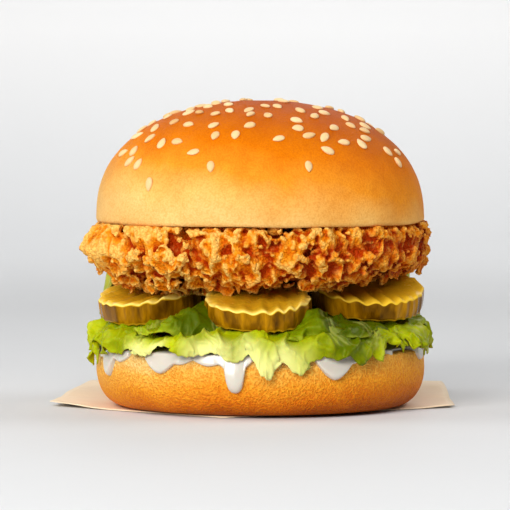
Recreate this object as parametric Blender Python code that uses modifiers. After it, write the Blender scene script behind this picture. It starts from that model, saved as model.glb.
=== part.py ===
"""Chicken burger: a sheet of burger paper, heel, sauce, two lettuce leaves, pickle slices, fillet, crown.

Every layer is one closed solid, and neighbours keep a small gap between them. The origin is on the
underside of the paper, on the burger's upright axis. +Z is up, and the front of the burger is -Y.
"""
import math

import bmesh
import bpy
from mathutils import Vector, noise

MM = 0.001
GAP = 0.3 * MM

# Heights, from the table up.
PAPER_THICK = 0.4 * MM
HEEL_BASE = PAPER_THICK + GAP
HEEL_TALL = 18.5 * MM
HEEL_TOP = HEEL_BASE + HEEL_TALL
SAUCE_THICK = 1.8 * MM
LEAF_BASE = HEEL_TOP + GAP + SAUCE_THICK + GAP
LEAF_THICK = 1.7 * MM
FILLET_BASE = 39.2 * MM
FILLET_WAIST = 51.8 * MM
FILLET_TOP = 59.4 * MM
CROWN_BASE = FILLET_TOP + GAP
CROWN_TALL = 38.2 * MM

# Bun.
BUN_RADIUS = 52.5 * MM
BUN_STEPS = 44
CROWN_POWER = 2.2
CROWN_TUCK = 1.2 * MM
HEEL_FOOT_RADIUS = 44.0 * MM
HEEL_CORNER_TALL = 12.0 * MM
HEEL_TOP_RADIUS = 51.7 * MM

# Sauce: it covers the heel's cut face out to a thin lip at the edge, where drips run over.
# Each drip is (bearing in degrees, half width in degrees, length below the lip).
SAUCE_RIM_SHARE = 0.8
SAUCE_LIP = 0.7 * MM
SAUCE_ROLL = 1.5 * MM
DRIPS = (
    (199, 8, 8.0 * MM),
    (234, 12, 6.8 * MM),
    (260, 7, 11.0 * MM),
    (296, 13, 7.8 * MM),
    (328, 8, 2.0 * MM),
    (18, 10, 8.0 * MM),
    (62, 12, 6.0 * MM),
    (101, 8, 10.0 * MM),
    (134, 11, 6.5 * MM),
)

# Lettuce: tips that hang over the heel, as (bearing, half width in degrees, lowest height).
LEAF_TIPS = (
    (184, 12, 15.0 * MM),
    (205, 8, 17.0 * MM),
    (226, 6, 18.2 * MM),
    (250, 9, 18.0 * MM),
    (272, 11, 13.2 * MM),
    (297, 16, 17.4 * MM),
    (321, 10, 16.2 * MM),
    (350, 13, 17.6 * MM),
    (15, 12, 17.0 * MM),
    (40, 9, 15.5 * MM),
    (81, 11, 14.0 * MM),
    (117, 9, 16.5 * MM),
    (157, 10, 15.0 * MM),
)
LEAF_STEPS = 96
LEAF_FLAT_SHARE = 0.86
LEAF_REACH = 55.0 * MM
LEAF_FLARE = 0.7 * MM
LEAF_RIM_THICK = 0.9 * MM
UPPER_LEAF_REACH = 53.6 * MM
RUFFLE = 1.3 * MM

# Pickles: each slice is (bearing in degrees, distance of its centre, radius, lowest height).
PICKLES = {
    "pickle_left": (195.5, 36.0 * MM, 17.5 * MM, 26.6 * MM),
    "pickle_front": (268.6, 34.0 * MM, 17.1 * MM, 26.6 * MM),
    "pickle_right": (341.5, 34.8 * MM, 18.9 * MM, 27.4 * MM),
    "pickle_back_right": (52.0, 35.8 * MM, 17.6 * MM, 26.8 * MM),
    "pickle_back_left": (122.0, 35.6 * MM, 17.2 * MM, 26.6 * MM),
}
PICKLE_THICK = 8.0 * MM
PICKLE_TILT = math.radians(12.0)
PICKLE_FLANK = 5.0 * MM
PICKLE_FLUTES = 18
PICKLE_FLUTE_DEPTH = 0.045
PICKLE_FLUTE_POINTS = 4

# Fillet: it leans over the buns, furthest on the left, and its underside is dished over the pickles.
FILLET_RADIUS = 54.4 * MM
FILLET_LEAN = 1.8 * MM
FILLET_UPPER_POWER = 6.0
FILLET_LOWER_POWER = 3.2
FILLET_CRAG = 2.6 * MM
FILLET_STEPS = 66

# Paper: the front edge runs from the left corner, under the heel, to the right corner.
PAPER_LEFT = Vector((-67.5, -3.0)) * MM
PAPER_FRONT = Vector((-12.0, -45.0)) * MM
PAPER_RIGHT = Vector((62.0, -8.0)) * MM
PAPER_BACK_LEFT = Vector((-57.0, 62.0)) * MM
PAPER_BACK_RIGHT = Vector((61.0, 61.0)) * MM
PAPER_CURL = 3.0 * MM
PAPER_FLAT_RADIUS = 50.0 * MM


def clear_scene():
    for thing in list(bpy.data.objects):
        bpy.data.objects.remove(thing, do_unlink=True)


def material(name, colour, roughness):
    made = bpy.data.materials.new(name)
    made.use_nodes = True
    shader = made.node_tree.nodes["Principled BSDF"]
    shader.inputs["Base Color"].default_value = (*colour, 1.0)
    shader.inputs["Roughness"].default_value = roughness
    shader.inputs["Metallic"].default_value = 0.0
    return made


def add(name, mesh, finish, collection):
    mesh.materials.append(finish)
    piece = bpy.data.objects.new(name, mesh)
    collection.objects.link(piece)
    return piece


def frozen(piece):
    """The mesh that an object's modifiers make, with the object itself removed."""
    graph = bpy.context.evaluated_depsgraph_get()
    mesh = bpy.data.meshes.new_from_object(piece.evaluated_get(graph))
    bpy.data.objects.remove(piece, do_unlink=True)
    return mesh


def turned(profile, steps):
    """The mesh of a half outline, given as (radius, height) points, turned once round Z."""
    outline = bpy.data.meshes.new("outline")
    points = [(radius, 0.0, height) for radius, height in profile]
    outline.from_pydata(points, [(i, i + 1) for i in range(len(points) - 1)], [])
    piece = bpy.data.objects.new("outline", outline)
    bpy.context.scene.collection.objects.link(piece)
    screw = piece.modifiers.new("turn", "SCREW")
    screw.axis = "Z"
    screw.angle = math.tau
    screw.steps = screw.render_steps = steps
    screw.use_merge_vertices = True
    screw.merge_threshold = 0.00001
    screw.use_smooth_shade = True
    return frozen(piece)


def smooth(x):
    """0 below 0, 1 above 1, and an easy slope between."""
    x = min(max(x, 0.0), 1.0)
    return x * x * (3.0 - 2.0 * x)


def swell(bearing, centre, half_width):
    """1 at the centre bearing, falling to 0 at half_width degrees from it."""
    apart = abs((math.degrees(bearing) - centre + 180.0) % 360.0 - 180.0)
    return smooth(1.0 - apart / half_width)


def tongue(bearing, centre, half_width):
    """Like swell, with a round end and steep sides."""
    apart = abs((math.degrees(bearing) - centre + 180.0) % 360.0 - 180.0) / half_width
    return math.sqrt(1.0 - apart ** 2) if apart < 1.0 else 0.0


def bun_share(bearing):
    """How far the bun is from round, as a share of its radius."""
    return 1.0 + 0.004 * math.cos(2 * bearing + 0.7) + 0.003 * math.cos(3 * bearing + 2.1)


def make_uneven(mesh):
    for vertex in mesh.vertices:
        share = bun_share(math.atan2(vertex.co.y, vertex.co.x))
        vertex.co.x *= share
        vertex.co.y *= share


def crown_profile():
    """From the top of the dome, down its side, round the cut edge and in to the axis."""
    points = []
    rings = 15
    for i in range(rings + 1):
        turn = math.pi / 2 * (1 - i / rings)
        radius = BUN_RADIUS * math.cos(turn) ** (2 / CROWN_POWER) if i else 0.0
        height = CROWN_TUCK + (CROWN_TALL - CROWN_TUCK) * math.sin(turn) ** (2 / CROWN_POWER)
        points.append((radius, CROWN_BASE + height))
    points.append((BUN_RADIUS - 0.2 * MM, CROWN_BASE + 0.4 * CROWN_TUCK))
    points.append((BUN_RADIUS - 0.8 * MM, CROWN_BASE))
    points.append((0.6 * BUN_RADIUS, CROWN_BASE))
    points.append((0.0, CROWN_BASE))
    return points


def heel_side(drop):
    """(radius, height) on the heel's side, this far below its top edge."""
    height = HEEL_TALL - drop
    if height >= HEEL_CORNER_TALL:
        lean = (height - HEEL_CORNER_TALL) / (HEEL_TALL - HEEL_CORNER_TALL)
        radius = BUN_RADIUS - (BUN_RADIUS - HEEL_TOP_RADIUS) * lean ** 2
    else:
        rise = 1.0 - max(height, 0.0) / HEEL_CORNER_TALL
        bulge = (BUN_RADIUS - HEEL_FOOT_RADIUS) * math.sqrt(1.0 - rise ** 2)
        radius = HEEL_FOOT_RADIUS + bulge
    return radius, HEEL_BASE + height


def heel_profile():
    points = [(0.0, HEEL_TOP), (0.6 * BUN_RADIUS, HEEL_TOP)]
    for drop in (0.0, 3.0, 6.5, 9.0, 11.5, 13.5, 15.3, 16.8, 17.9):
        points.append(heel_side(drop * MM))
    points.append((HEEL_FOOT_RADIUS, HEEL_BASE))
    points.append((0.0, HEEL_BASE))
    return points


def layer(name, shares, steps, under, upper, finish, collection):
    """A round layer: a disc turned from shares of its radius, doubled by an extrusion, and its two
    faces then laid where the functions under(share, bearing) and upper(share, bearing) say."""
    form = bmesh.new()
    form.from_mesh(turned([(share, 0.0) for share in shares], steps))
    doubled = bmesh.ops.extrude_face_region(form, geom=form.faces[:])
    high = {part for part in doubled["geom"] if isinstance(part, bmesh.types.BMVert)}
    for vertex in high:
        vertex.co.z = 1.0
    bmesh.ops.recalc_face_normals(form, faces=form.faces)
    for vertex in form.verts:
        share, bearing = vertex.co.xy.length, math.atan2(vertex.co.y, vertex.co.x)
        vertex.co = upper(share, bearing) if vertex in high else under(share, bearing)
    mesh = bpy.data.meshes.new(name)
    form.to_mesh(mesh)
    form.free()
    return add(name, mesh, finish, collection)


def at(radius, bearing, height):
    return Vector((radius * math.cos(bearing), radius * math.sin(bearing), height))


def drip_length(bearing):
    return max(length * tongue(bearing, centre, width) for centre, width, length in DRIPS)


def drip_share(bearing):
    return max(swell(bearing, centre, width) for centre, width, _ in DRIPS)


def sauce_path(share, bearing, off):
    """A point at this share of the way out and down the heel, standing this far off it."""
    if share <= SAUCE_RIM_SHARE:
        corner = off * smooth((share - 0.7) / (SAUCE_RIM_SHARE - 0.7))
        radius = HEEL_TOP_RADIUS * share / SAUCE_RIM_SHARE + corner
        return at(radius * bun_share(bearing), bearing, HEEL_TOP + off)
    down = (share - SAUCE_RIM_SHARE) / (1.0 - SAUCE_RIM_SHARE)
    radius, height = heel_side((SAUCE_LIP + drip_length(bearing)) * down)
    return at((radius + off) * bun_share(bearing), bearing, height + off * (1.0 - down))


def sauce_under(share, bearing):
    on_side = max(0.0, share - SAUCE_RIM_SHARE) / (1.0 - SAUCE_RIM_SHARE)
    return sauce_path(share, bearing, GAP * (1.0 + 1.2 * on_side))


def sauce_upper(share, bearing):
    rim_thick = SAUCE_LIP + (SAUCE_ROLL - SAUCE_LIP) * drip_share(bearing)
    out = smooth((share - 0.66) / (SAUCE_RIM_SHARE - 0.66))
    end = max(0.0, share - SAUCE_RIM_SHARE) / (1.0 - SAUCE_RIM_SHARE)
    thick = (SAUCE_THICK + (min(rim_thick, SAUCE_THICK) - SAUCE_THICK) * out) * (1.0 - end)
    thick += rim_thick * end * (1.0 - 0.5 * end ** 4)
    return sauce_path(share, bearing, GAP + thick)


def tip_share(bearing):
    return max(swell(bearing, centre, width) for centre, width, _ in LEAF_TIPS)


def tip_drop(bearing):
    """How far the lower leaf's rim hangs below the rest of it at this bearing."""
    return max(swell(bearing, centre, width) * (LEAF_BASE - low) for centre, width, low in LEAF_TIPS)


def ruffle(bearing):
    """A wavy rim, from 0 to 1."""
    return 0.5 + 0.28 * math.sin(9 * bearing + 0.4) + 0.22 * math.sin(14 * bearing + 1.9)


def lower_leaf_under(share, bearing):
    start = 52.6 * MM
    if share <= LEAF_FLAT_SHARE:
        return at(share / LEAF_FLAT_SHARE * start, bearing, LEAF_BASE)
    out = (share - LEAF_FLAT_SHARE) / (1.0 - LEAF_FLAT_SHARE)
    level = LEAF_BASE + RUFFLE * ruffle(bearing) * out * (1.0 - tip_share(bearing))
    bend = max(0.0, (out - 0.35) / 0.65)
    radius = start + (LEAF_REACH - start) * min(1.0, out / 0.35) + LEAF_FLARE * bend
    return at(radius, bearing, level - tip_drop(bearing) * bend)


def lower_leaf_upper(share, bearing):
    point = lower_leaf_under(share, bearing)
    steep = tip_share(bearing) * smooth((share - LEAF_FLAT_SHARE) / (0.6 - 0.6 * LEAF_FLAT_SHARE))
    return point + at(LEAF_RIM_THICK * steep, bearing, LEAF_THICK * (1.0 - 0.4 * steep))


def pickle_level(radius, distance, size, low):
    """The height of one slice's underside, this far out along the slice's own bearing."""
    return low + (distance + size * math.cos(PICKLE_TILT) - radius) * math.tan(PICKLE_TILT)


def pickle_floor(radius):
    """The height under which the slices have nothing, at this radius."""
    return min(max(low, pickle_level(radius, *rest, low)) for _, *rest, low in PICKLES.values())


def pickle_ceiling(radius):
    """The height over which they have nothing. A slice's flanks stand higher than its middle."""
    highest = max(pickle_level(radius - PICKLE_FLANK, *rest) for _, *rest in PICKLES.values())
    return highest + PICKLE_THICK / math.cos(PICKLE_TILT)


def upper_leaf_radius(share, bearing):
    return share * (UPPER_LEAF_REACH + 1.2 * MM * ruffle(bearing + 0.5))


def upper_leaf_under(share, bearing):
    radius = upper_leaf_radius(share, bearing)
    rise = max(0.0, share - 0.8) / 0.2
    lowest = LEAF_BASE + LEAF_THICK + 2 * GAP + 0.8 * RUFFLE * rise
    return at(radius, bearing, lowest)


def upper_leaf_upper(share, bearing):
    radius = upper_leaf_radius(share, bearing)
    top = pickle_floor(max(radius, 18 * MM)) - 0.2 * MM - GAP
    wave = RUFFLE * ruffle(bearing + 0.5) * smooth((share - 0.5) / 0.5)
    lowest = upper_leaf_under(share, bearing).z + 0.9 * MM
    return at(radius, bearing, max(top - wave, lowest))


def pickle_outline(radius):
    """A fluted ring of points: hollow arcs that meet in sharp ridges."""
    count = PICKLE_FLUTES * PICKLE_FLUTE_POINTS
    points = []
    for i in range(count):
        turn = math.tau * i / count
        hollow = abs(math.sin(PICKLE_FLUTES * turn / 2))
        reach = radius * (1 - PICKLE_FLUTE_DEPTH * hollow)
        points.append((reach * math.cos(turn), reach * math.sin(turn)))
    return points


def pickle(name, bearing, distance, radius, low, finish, collection):
    """A slice cut from a fluted gherkin, lying with its outer edge lowest."""
    curve = bpy.data.curves.new(name, "CURVE")
    curve.dimensions = "2D"
    curve.fill_mode = "BOTH"
    curve.extrude = PICKLE_THICK / 2
    outline = pickle_outline(radius)
    spline = curve.splines.new("POLY")
    spline.points.add(len(outline) - 1)
    for point, (x, y) in zip(spline.points, outline):
        point.co = (x, y, 0.0, 1.0)
    spline.use_cyclic_u = True
    curve.materials.append(finish)
    piece = bpy.data.objects.new(name, curve)
    collection.objects.link(piece)
    middle = low + radius * math.sin(PICKLE_TILT) + PICKLE_THICK / 2 * math.cos(PICKLE_TILT)
    piece.location = at(distance, math.radians(bearing), middle)
    piece.rotation_euler = (0.0, PICKLE_TILT, math.radians(bearing))
    return piece


def fillet_profile():
    """A flat pebble, from its top, round its rim, to its underside."""
    points = [(0.0, FILLET_TOP), (0.5 * FILLET_RADIUS, FILLET_TOP)]
    rings = 12
    for i in range(1, rings):
        turn = math.pi * (0.5 - i / rings)
        power = FILLET_UPPER_POWER if turn > 0 else FILLET_LOWER_POWER
        half = FILLET_TOP - FILLET_WAIST if turn > 0 else FILLET_WAIST - FILLET_BASE
        lift = math.copysign(abs(math.sin(turn)) ** (2 / power), turn)
        points.append((FILLET_RADIUS * math.cos(turn) ** (2 / power), FILLET_WAIST + half * lift))
    points += [(0.34 * FILLET_RADIUS, FILLET_BASE), (0.0, FILLET_BASE)]
    return points


def fillet_crag(point):
    """How far the crust stands proud here, from -1 to 1."""
    coarse = noise.noise(point / (12 * MM))
    lumps = noise.voronoi(point / (8 * MM))[0][0]
    grit = noise.cell(point / (3 * MM))
    return max(-1.0, min(1.0, 0.8 * coarse + 0.8 * (0.5 - lumps) + 0.5 * (grit - 0.5)))


def make_fillet(finish, collection):
    mesh = turned(fillet_profile(), FILLET_STEPS)
    for vertex in mesh.vertices:
        point = vertex.co.copy()
        radius = point.xy.length
        rim = smooth((radius / FILLET_RADIUS - 0.6) / 0.3)
        lean = FILLET_LEAN * -point.x / max(radius, MM)
        vertex.co.xy += point.xy.normalized() * rim * (FILLET_CRAG * fillet_crag(point) + lean)
        wave = 1.2 * MM * noise.noise(point / (9 * MM) + Vector((3, 1, 4)))
        lowest = max(FILLET_BASE, pickle_ceiling(max(vertex.co.xy.length, 15 * MM)) + GAP)
        vertex.co.z = min(max(point.z + rim * wave, lowest), FILLET_TOP)
    return add("chicken_fillet", mesh, finish, collection)


def paper_edge(along):
    """A point of the paper's front edge, from its left corner (0) to its right corner (1)."""
    if along <= 0.5:
        return PAPER_LEFT.lerp(PAPER_FRONT, along * 2)
    return PAPER_FRONT.lerp(PAPER_RIGHT, along * 2 - 1)


def paper_lift(point):
    """The sheet lies flat under the heel and curls up a little outside it, most at its corners."""
    beyond = smooth((point.length - PAPER_FLAT_RADIUS) / (26 * MM))
    left = smooth((-point.x - 52 * MM) / (16 * MM)) * 0.35
    return PAPER_CURL * min(1.0, max(left, beyond * (0.75 if point.y > 20 * MM else 0.12)))


def make_paper(finish, collection):
    across, deep = 16, 8
    form = bmesh.new()
    bmesh.ops.create_grid(form, x_segments=across, y_segments=deep, size=0.5)
    for vertex in form.verts:
        along, back = vertex.co.x + 0.5, vertex.co.y + 0.5
        front = paper_edge(along)
        point = front.lerp(PAPER_BACK_LEFT.lerp(PAPER_BACK_RIGHT, along), back)
        vertex.co = Vector((point.x, point.y, paper_lift(point)))
    doubled = bmesh.ops.extrude_face_region(form, geom=form.faces[:])
    for part in doubled["geom"]:
        if isinstance(part, bmesh.types.BMVert):
            part.co.z += PAPER_THICK
    bmesh.ops.recalc_face_normals(form, faces=form.faces)
    mesh = bpy.data.meshes.new("burger_paper")
    form.to_mesh(mesh)
    form.free()
    return add("burger_paper", mesh, finish, collection)


def make_buns(finish, collection):
    for name, profile in (("bun_heel", heel_profile()), ("bun_crown", crown_profile())):
        mesh = turned(profile, BUN_STEPS)
        make_uneven(mesh)
        add(name, mesh, finish, collection)


def main():
    clear_scene()
    burger = bpy.data.collections.new("chicken_burger")
    bpy.context.scene.collection.children.link(burger)
    bread = material("bread", (0.80, 0.30, 0.04), 0.45)
    crust = material("fried_crust", (0.66, 0.25, 0.04), 0.5)
    leaf = material("lettuce", (0.40, 0.46, 0.03), 0.35)
    gherkin = material("gherkin", (0.36, 0.20, 0.02), 0.25)
    sauce = material("white_sauce", (0.82, 0.75, 0.62), 0.25)
    paper = material("paper", (0.87, 0.68, 0.45), 0.8)

    make_paper(paper, burger)
    make_buns(bread, burger)
    layer(
        "white_sauce", (0.0, 0.66, SAUCE_RIM_SHARE, 0.86, 0.93, 1.0), LEAF_STEPS,
        sauce_under, sauce_upper, sauce, burger,
    )
    layer(
        "lettuce_lower", (0.0, LEAF_FLAT_SHARE, 0.91, 0.95, 1.0), LEAF_STEPS,
        lower_leaf_under, lower_leaf_upper, leaf, burger,
    )
    layer(
        "lettuce_upper", (0.0, 0.33, 0.8, 1.0), LEAF_STEPS,
        upper_leaf_under, upper_leaf_upper, leaf, burger,
    )
    for name, (bearing, distance, radius, low) in PICKLES.items():
        pickle(name, bearing, distance, radius, low, gherkin, burger)
    make_fillet(crust, burger)


main()
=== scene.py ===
import math

import bmesh
import bpy
import numpy as np
from mathutils import Matrix, Vector, noise
from mathutils.bvhtree import BVHTree


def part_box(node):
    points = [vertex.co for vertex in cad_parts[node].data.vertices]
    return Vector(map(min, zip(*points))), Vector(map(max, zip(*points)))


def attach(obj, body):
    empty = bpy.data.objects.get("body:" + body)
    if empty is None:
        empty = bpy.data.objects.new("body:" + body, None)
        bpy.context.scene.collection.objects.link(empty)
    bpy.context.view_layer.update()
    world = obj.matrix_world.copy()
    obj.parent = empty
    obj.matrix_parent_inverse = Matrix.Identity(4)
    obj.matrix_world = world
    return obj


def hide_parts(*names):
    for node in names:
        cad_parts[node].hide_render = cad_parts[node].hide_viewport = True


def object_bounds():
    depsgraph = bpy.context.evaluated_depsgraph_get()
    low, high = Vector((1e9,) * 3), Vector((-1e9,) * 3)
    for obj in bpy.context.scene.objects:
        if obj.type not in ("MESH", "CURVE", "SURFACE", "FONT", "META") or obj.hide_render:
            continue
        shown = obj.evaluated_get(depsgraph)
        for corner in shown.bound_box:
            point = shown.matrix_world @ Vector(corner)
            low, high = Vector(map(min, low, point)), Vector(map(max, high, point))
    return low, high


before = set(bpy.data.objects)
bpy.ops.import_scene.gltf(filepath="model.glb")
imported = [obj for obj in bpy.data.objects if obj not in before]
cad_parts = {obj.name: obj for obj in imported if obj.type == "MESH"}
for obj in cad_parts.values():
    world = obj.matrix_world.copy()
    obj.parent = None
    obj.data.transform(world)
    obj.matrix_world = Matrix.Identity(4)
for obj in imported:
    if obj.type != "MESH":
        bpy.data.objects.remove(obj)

# The looks of a chicken burger: crown and seeds, fried fillet, gherkin slices, lettuce, white sauce,
# heel and burger paper. Lengths are in metres; bearings run anticlockwise from +X, seen from above.

MM = 0.001
MERGE = 0.00001
CAD_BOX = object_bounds()

# Camera: a long lens a little above the table.
CAMERA_PLACE = Vector((-0.0018, -1.3, 0.116))
CAMERA_AIM = Vector((-0.0018, 0.0, 0.0484))
VIEW_WIDTH = 0.1637
SENSOR_WIDTH = 36.0

# Table and the wall that it sweeps up into.
TABLE_FRONT = -3.0
TABLE_BACK = 1.05
SWEEP = 0.7
SWEEP_STEPS = 24
WALL_TOP = 3.0
TABLE_REACH = 3.0

# Bun.
CROWN_POWER = 2.2
CROWN_TUCK = 1.2 * MM
CROWN_CORNER = 1.1 * MM
CROWN_RINGS = 70
CUT_RINGS = 5
CROWN_DENTS = 0.45 * MM
CROWN_DENT_SIZE = 24 * MM
CUT_BAND = 6 * MM
CUT_DROOP = 0.3 * MM
HEEL_DENTS = 0.25 * MM
HEEL_DENT_SIZE = 15 * MM
HEEL_RINGS = 44
HEEL_FOOT_RADIUS = 44.0 * MM
HEEL_TOP_RADIUS = 51.7 * MM
HEEL_CORNER_TALL = 12.0 * MM
BUN_STEPS = 240

# Sesame seeds.
SEED_LONG = 4.1 * MM
SEED_WIDE = 2.75 * MM
SEED_THICK = 1.35 * MM
SEED_COUNT = 112
SEED_APART = 3.5 * MM
SEED_STANDS = 0.22 * MM
SEED_CROWD_DEPTH = 0.32
SEED_TRIES = 40

# The lone seeds on the crown's lower slopes, as (bearing, share of the dome's height, turn).
LONE_SEEDS = (
    (227, 0.33, -85), (210, 0.50, 55), (217, 0.48, 75), (251, 0.48, -80), (288, 0.48, -97),
    (208, 0.58, 90), (199, 0.56, 35), (242, 0.59, -155), (298, 0.60, 150), (223, 0.65, 100),
    (231, 0.67, 0), (308, 0.66, 175), (317, 0.64, 90), (332, 0.58, -70), (342, 0.57, 160),
    (335, 0.49, 130), (12, 0.45, 60), (31, 0.60, 140), (55, 0.42, -90), (74, 0.58, 20),
    (93, 0.50, 100), (118, 0.61, -40), (131, 0.46, 85), (152, 0.57, 170), (170, 0.44, 30),
)

# Fillet.
FILLET_CORE = 51.2 * MM
FILLET_WAIST = 51.8 * MM
FILLET_STEPS = 420
FILLET_RINGS = 73
CRUST_VOXEL = 0.40 * MM
CRUST_TRIANGLES = 192000
CRUST_HANG = 4.0 * MM
FINE_ROUNDS, BROAD_ROUNDS = 5, 60
# Reach and rays of the crust's self-occlusion, which is painted into its colour as shade.
SHELTER_REACH, SHELTER_RAYS = 5 * MM, 9

# Flakes of crust, as (count, turns round the rim, lengths in mm, tilts, depths in mm): shingles all round,
# short ones on the shoulder, scraps, and a fringe along the underside.
FLAKES = (
    (90, (-0.8, 1.1), (4.5, 9.0), (0.1, 0.8), (-1.2, 0.9)),
    (90, (1.0, 1.4), (3.5, 6.0), (-0.5, 0.4), (-0.5, 0.6)),
    (170, (-1.1, 1.2), (2.0, 4.0), (-0.3, 1.2), (-0.1, 1.5)),
    (120, (-1.2, -0.65), (3.5, 7.0), (-0.1, 0.7), (-0.3, 1.6)),
)
FLAKE_RINGS, FLAKE_SPOKES = 5, 24
CRUMB_COUNT = 900

# Where the coating sags, as (depth in mm, bearing, half width in degrees).
SAGS = ((4.4, 212.0, 42.0), (1.6, 284.0, 26.0), (1.8, 304.0, 22.0), (2.5, 60.0, 40.0), (2.0, 140.0, 30.0))

# Gherkin slices. At this tilt a slice fills the height of its CAD solid.
SLICE_THICK = 7.0 * MM
SLICE_TILT = math.radians(14.0)
SLICE_STEPS = 306
SLICE_RINGS = (0.0, 0.12, 0.25, 0.4, 0.55, 0.7, 0.8, 0.88, 0.94, 0.98)
SLICE_CORNER_RINGS = 4
SLICE_SIDE_RINGS = 12
SLICE_ROUNDING = 0.45 * MM
SLICE_WARP = 0.5 * MM

# How each slice lies, as (turn of its slope in degrees, slope in degrees, lift, paleness of its face). The
# lower paleness of the right slices is painted shade.
SLICE_LIES = {
    "pickle_left": (32.0, 13.0, 0.3 * MM, 1.0),
    "pickle_front": (0.0, 14.0, 0.0, 1.0),
    "pickle_right": (-52.0, 17.0, 1.6 * MM, 0.75),
    "pickle_back_right": (24.0, 15.0, 0.8 * MM, 0.9),
    "pickle_back_left": (-12.0, 13.0, 0.0, 1.0),
}

SLICE_FLUTES = 25
SLICE_GROOVE = 0.024
CRINKLE_PITCH = 4.4 * MM
CRINKLE_DEEP = 0.50 * MM

# Sauce drips, as (bearing, half width in degrees, length in mm below the heel's edge).
DRIPS = (
    (198.0, 6.0, 2.4), (206.0, 5.2, 7.8), (213.0, 8.0, 3.0), (233.5, 9.0, 5.6), (241.0, 8.0, 2.6),
    (252.0, 9.0, 2.8), (261.2, 4.1, 11.0), (261.0, 8.5, 5.0), (272.0, 9.0, 1.6), (295.8, 9.5, 7.2),
    (303.0, 6.0, 2.4), (322.0, 6.0, 1.0), (343.0, 5.0, 3.2), (12.0, 6.5, 5.6), (20.0, 4.5, 9.0),
    (41.0, 6.0, 3.2), (62.0, 8.0, 6.6), (81.0, 5.0, 4.0), (101.0, 4.0, 10.8), (107.0, 7.0, 5.0),
    (134.0, 8.0, 7.0), (152.0, 5.0, 3.6), (170.0, 5.5, 5.8),
)
NARROW_DRIP = 4.5
SAUCE_STEPS = 1300
SAUCE_ROWS = 36
SAUCE_TOP_ROWS = 9
SAUCE_THICK = 1.6 * MM
SAUCE_DRAWN_BACK = 3.2 * MM

# Burger paper.
PAPER_THICK = 0.25 * MM
PAPER_LIFT = 0.35 * MM
PAPER_CREASE_SIZE = 13 * MM


# ---------------------------------------------------------------- small tools


def smooth_step(x):
    x = np.clip(x, 0.0, 1.0)
    return x * x * (3.0 - 2.0 * x)


def noise_at(points, size, offset=0.0):
    """Soft noise from about -1 to 1, with lumps of this size, at each point."""
    shift = Vector((offset, 1.7 * offset, -0.6 * offset))
    return np.array([noise.noise(Vector(p) / size + shift) for p in points])


def cells_at(points, size, offset=0.0):
    """Distance to the nearest cell centre, in cells of this size."""
    shift = Vector((offset, -offset, 2.3 * offset))
    return np.array([noise.voronoi(Vector(p) / size + shift)[0][0] for p in points])


def wave(bearing, counts, phases, weights):
    """A sum of waves round the burger, about -1 to 1."""
    total = sum(w * np.sin(c * bearing + p) for c, p, w in zip(counts, phases, weights))
    return total / sum(weights)


def degrees_apart(bearing, centre):
    return np.abs((np.degrees(bearing) - centre + 180.0) % 360.0 - 180.0)


def near(bearing, centre, half_width):
    """1 at a bearing in degrees, falling softly to 0 this many degrees to each side."""
    return smooth_step(1.0 - degrees_apart(bearing, centre) / half_width)


def rises(bearing, *spots):
    """A sum of soft bumps, each from (height, bearing, half width in degrees)."""
    return sum(height * near(bearing, centre, half_width) for height, centre, half_width in spots)


def bearings_of(points):
    return np.arctan2(points[:, 1], points[:, 0])


def bun_share(bearing):
    """The bun's radius at each bearing, as a share of BUN_RADIUS: it is never quite round."""
    return 1.0 + 0.004 * np.cos(2 * bearing + 0.7) + 0.003 * np.cos(3 * bearing + 2.1)


def polar(radius, bearing, height):
    """Points of a grid, from its radii and from bearings and heights that may be its rows or columns."""
    bearing = bearing + 0 * radius
    return np.stack([radius * np.cos(bearing), radius * np.sin(bearing), height + 0 * bearing], axis=-1)


def mesh_from(name, points, faces):
    mesh = bpy.data.meshes.new(name)
    mesh.from_pydata(np.asarray(points).tolist(), [], faces)
    mesh.validate()
    return mesh


def points_of(mesh):
    flat = np.empty(3 * len(mesh.vertices))
    mesh.vertices.foreach_get("co", flat)
    return flat.reshape(-1, 3)


def set_points(mesh, points):
    mesh.vertices.foreach_set("co", np.asarray(points).ravel())
    mesh.update()


def normals_of(mesh):
    flat = np.empty(3 * len(mesh.vertices))
    mesh.vertex_normals.foreach_get("vector", flat)
    return flat.reshape(-1, 3)


def paint(mesh, name, values):
    """Stores a number for each vertex, for the materials to read."""
    layer = mesh.attributes.new(name, "FLOAT", "POINT")
    layer.data.foreach_set("value", np.asarray(values, dtype=np.float32))


def standing_on(normal):
    """The turn that brings +Z to this normal and keeps +X level."""
    side = Vector((0, 0, 1)).cross(normal).normalized()
    return Matrix((side, normal.cross(side), normal)).transposed()


def ray_tree(mesh):
    return BVHTree.FromPolygons([v.co for v in mesh.vertices], [p.vertices[:] for p in mesh.polygons])


def new_object(name, data):
    piece = bpy.data.objects.new(name, data)
    bpy.context.scene.collection.objects.link(piece)
    return piece


def frozen(piece):
    """The mesh that an object's modifiers make, with the object itself removed."""
    graph = bpy.context.evaluated_depsgraph_get()
    mesh = bpy.data.meshes.new_from_object(piece.evaluated_get(graph))
    bpy.data.objects.remove(piece, do_unlink=True)
    return mesh


def turned(profile, steps):
    """The mesh of a half outline, given as (radius, height) points, turned once round Z."""
    outline = bpy.data.meshes.new("outline")
    points = [(radius, 0.0, height) for radius, height in profile]
    outline.from_pydata(points, [(i, i + 1) for i in range(len(points) - 1)], [])
    piece = new_object("outline", outline)
    screw = piece.modifiers.new("turn", "SCREW")
    screw.axis = "Z"
    screw.angle = math.tau
    screw.steps = screw.render_steps = steps
    screw.use_merge_vertices = True
    screw.merge_threshold = MERGE
    return frozen(piece)


def faced_outwards(mesh, merge):
    """Turns a mesh's faces outwards, after joining points that coincide where asked."""
    form = bmesh.new()
    form.from_mesh(mesh)
    if merge:
        bmesh.ops.remove_doubles(form, verts=form.verts, dist=MERGE)
    bmesh.ops.recalc_face_normals(form, faces=form.faces)
    form.to_mesh(mesh)
    form.free()


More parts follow.
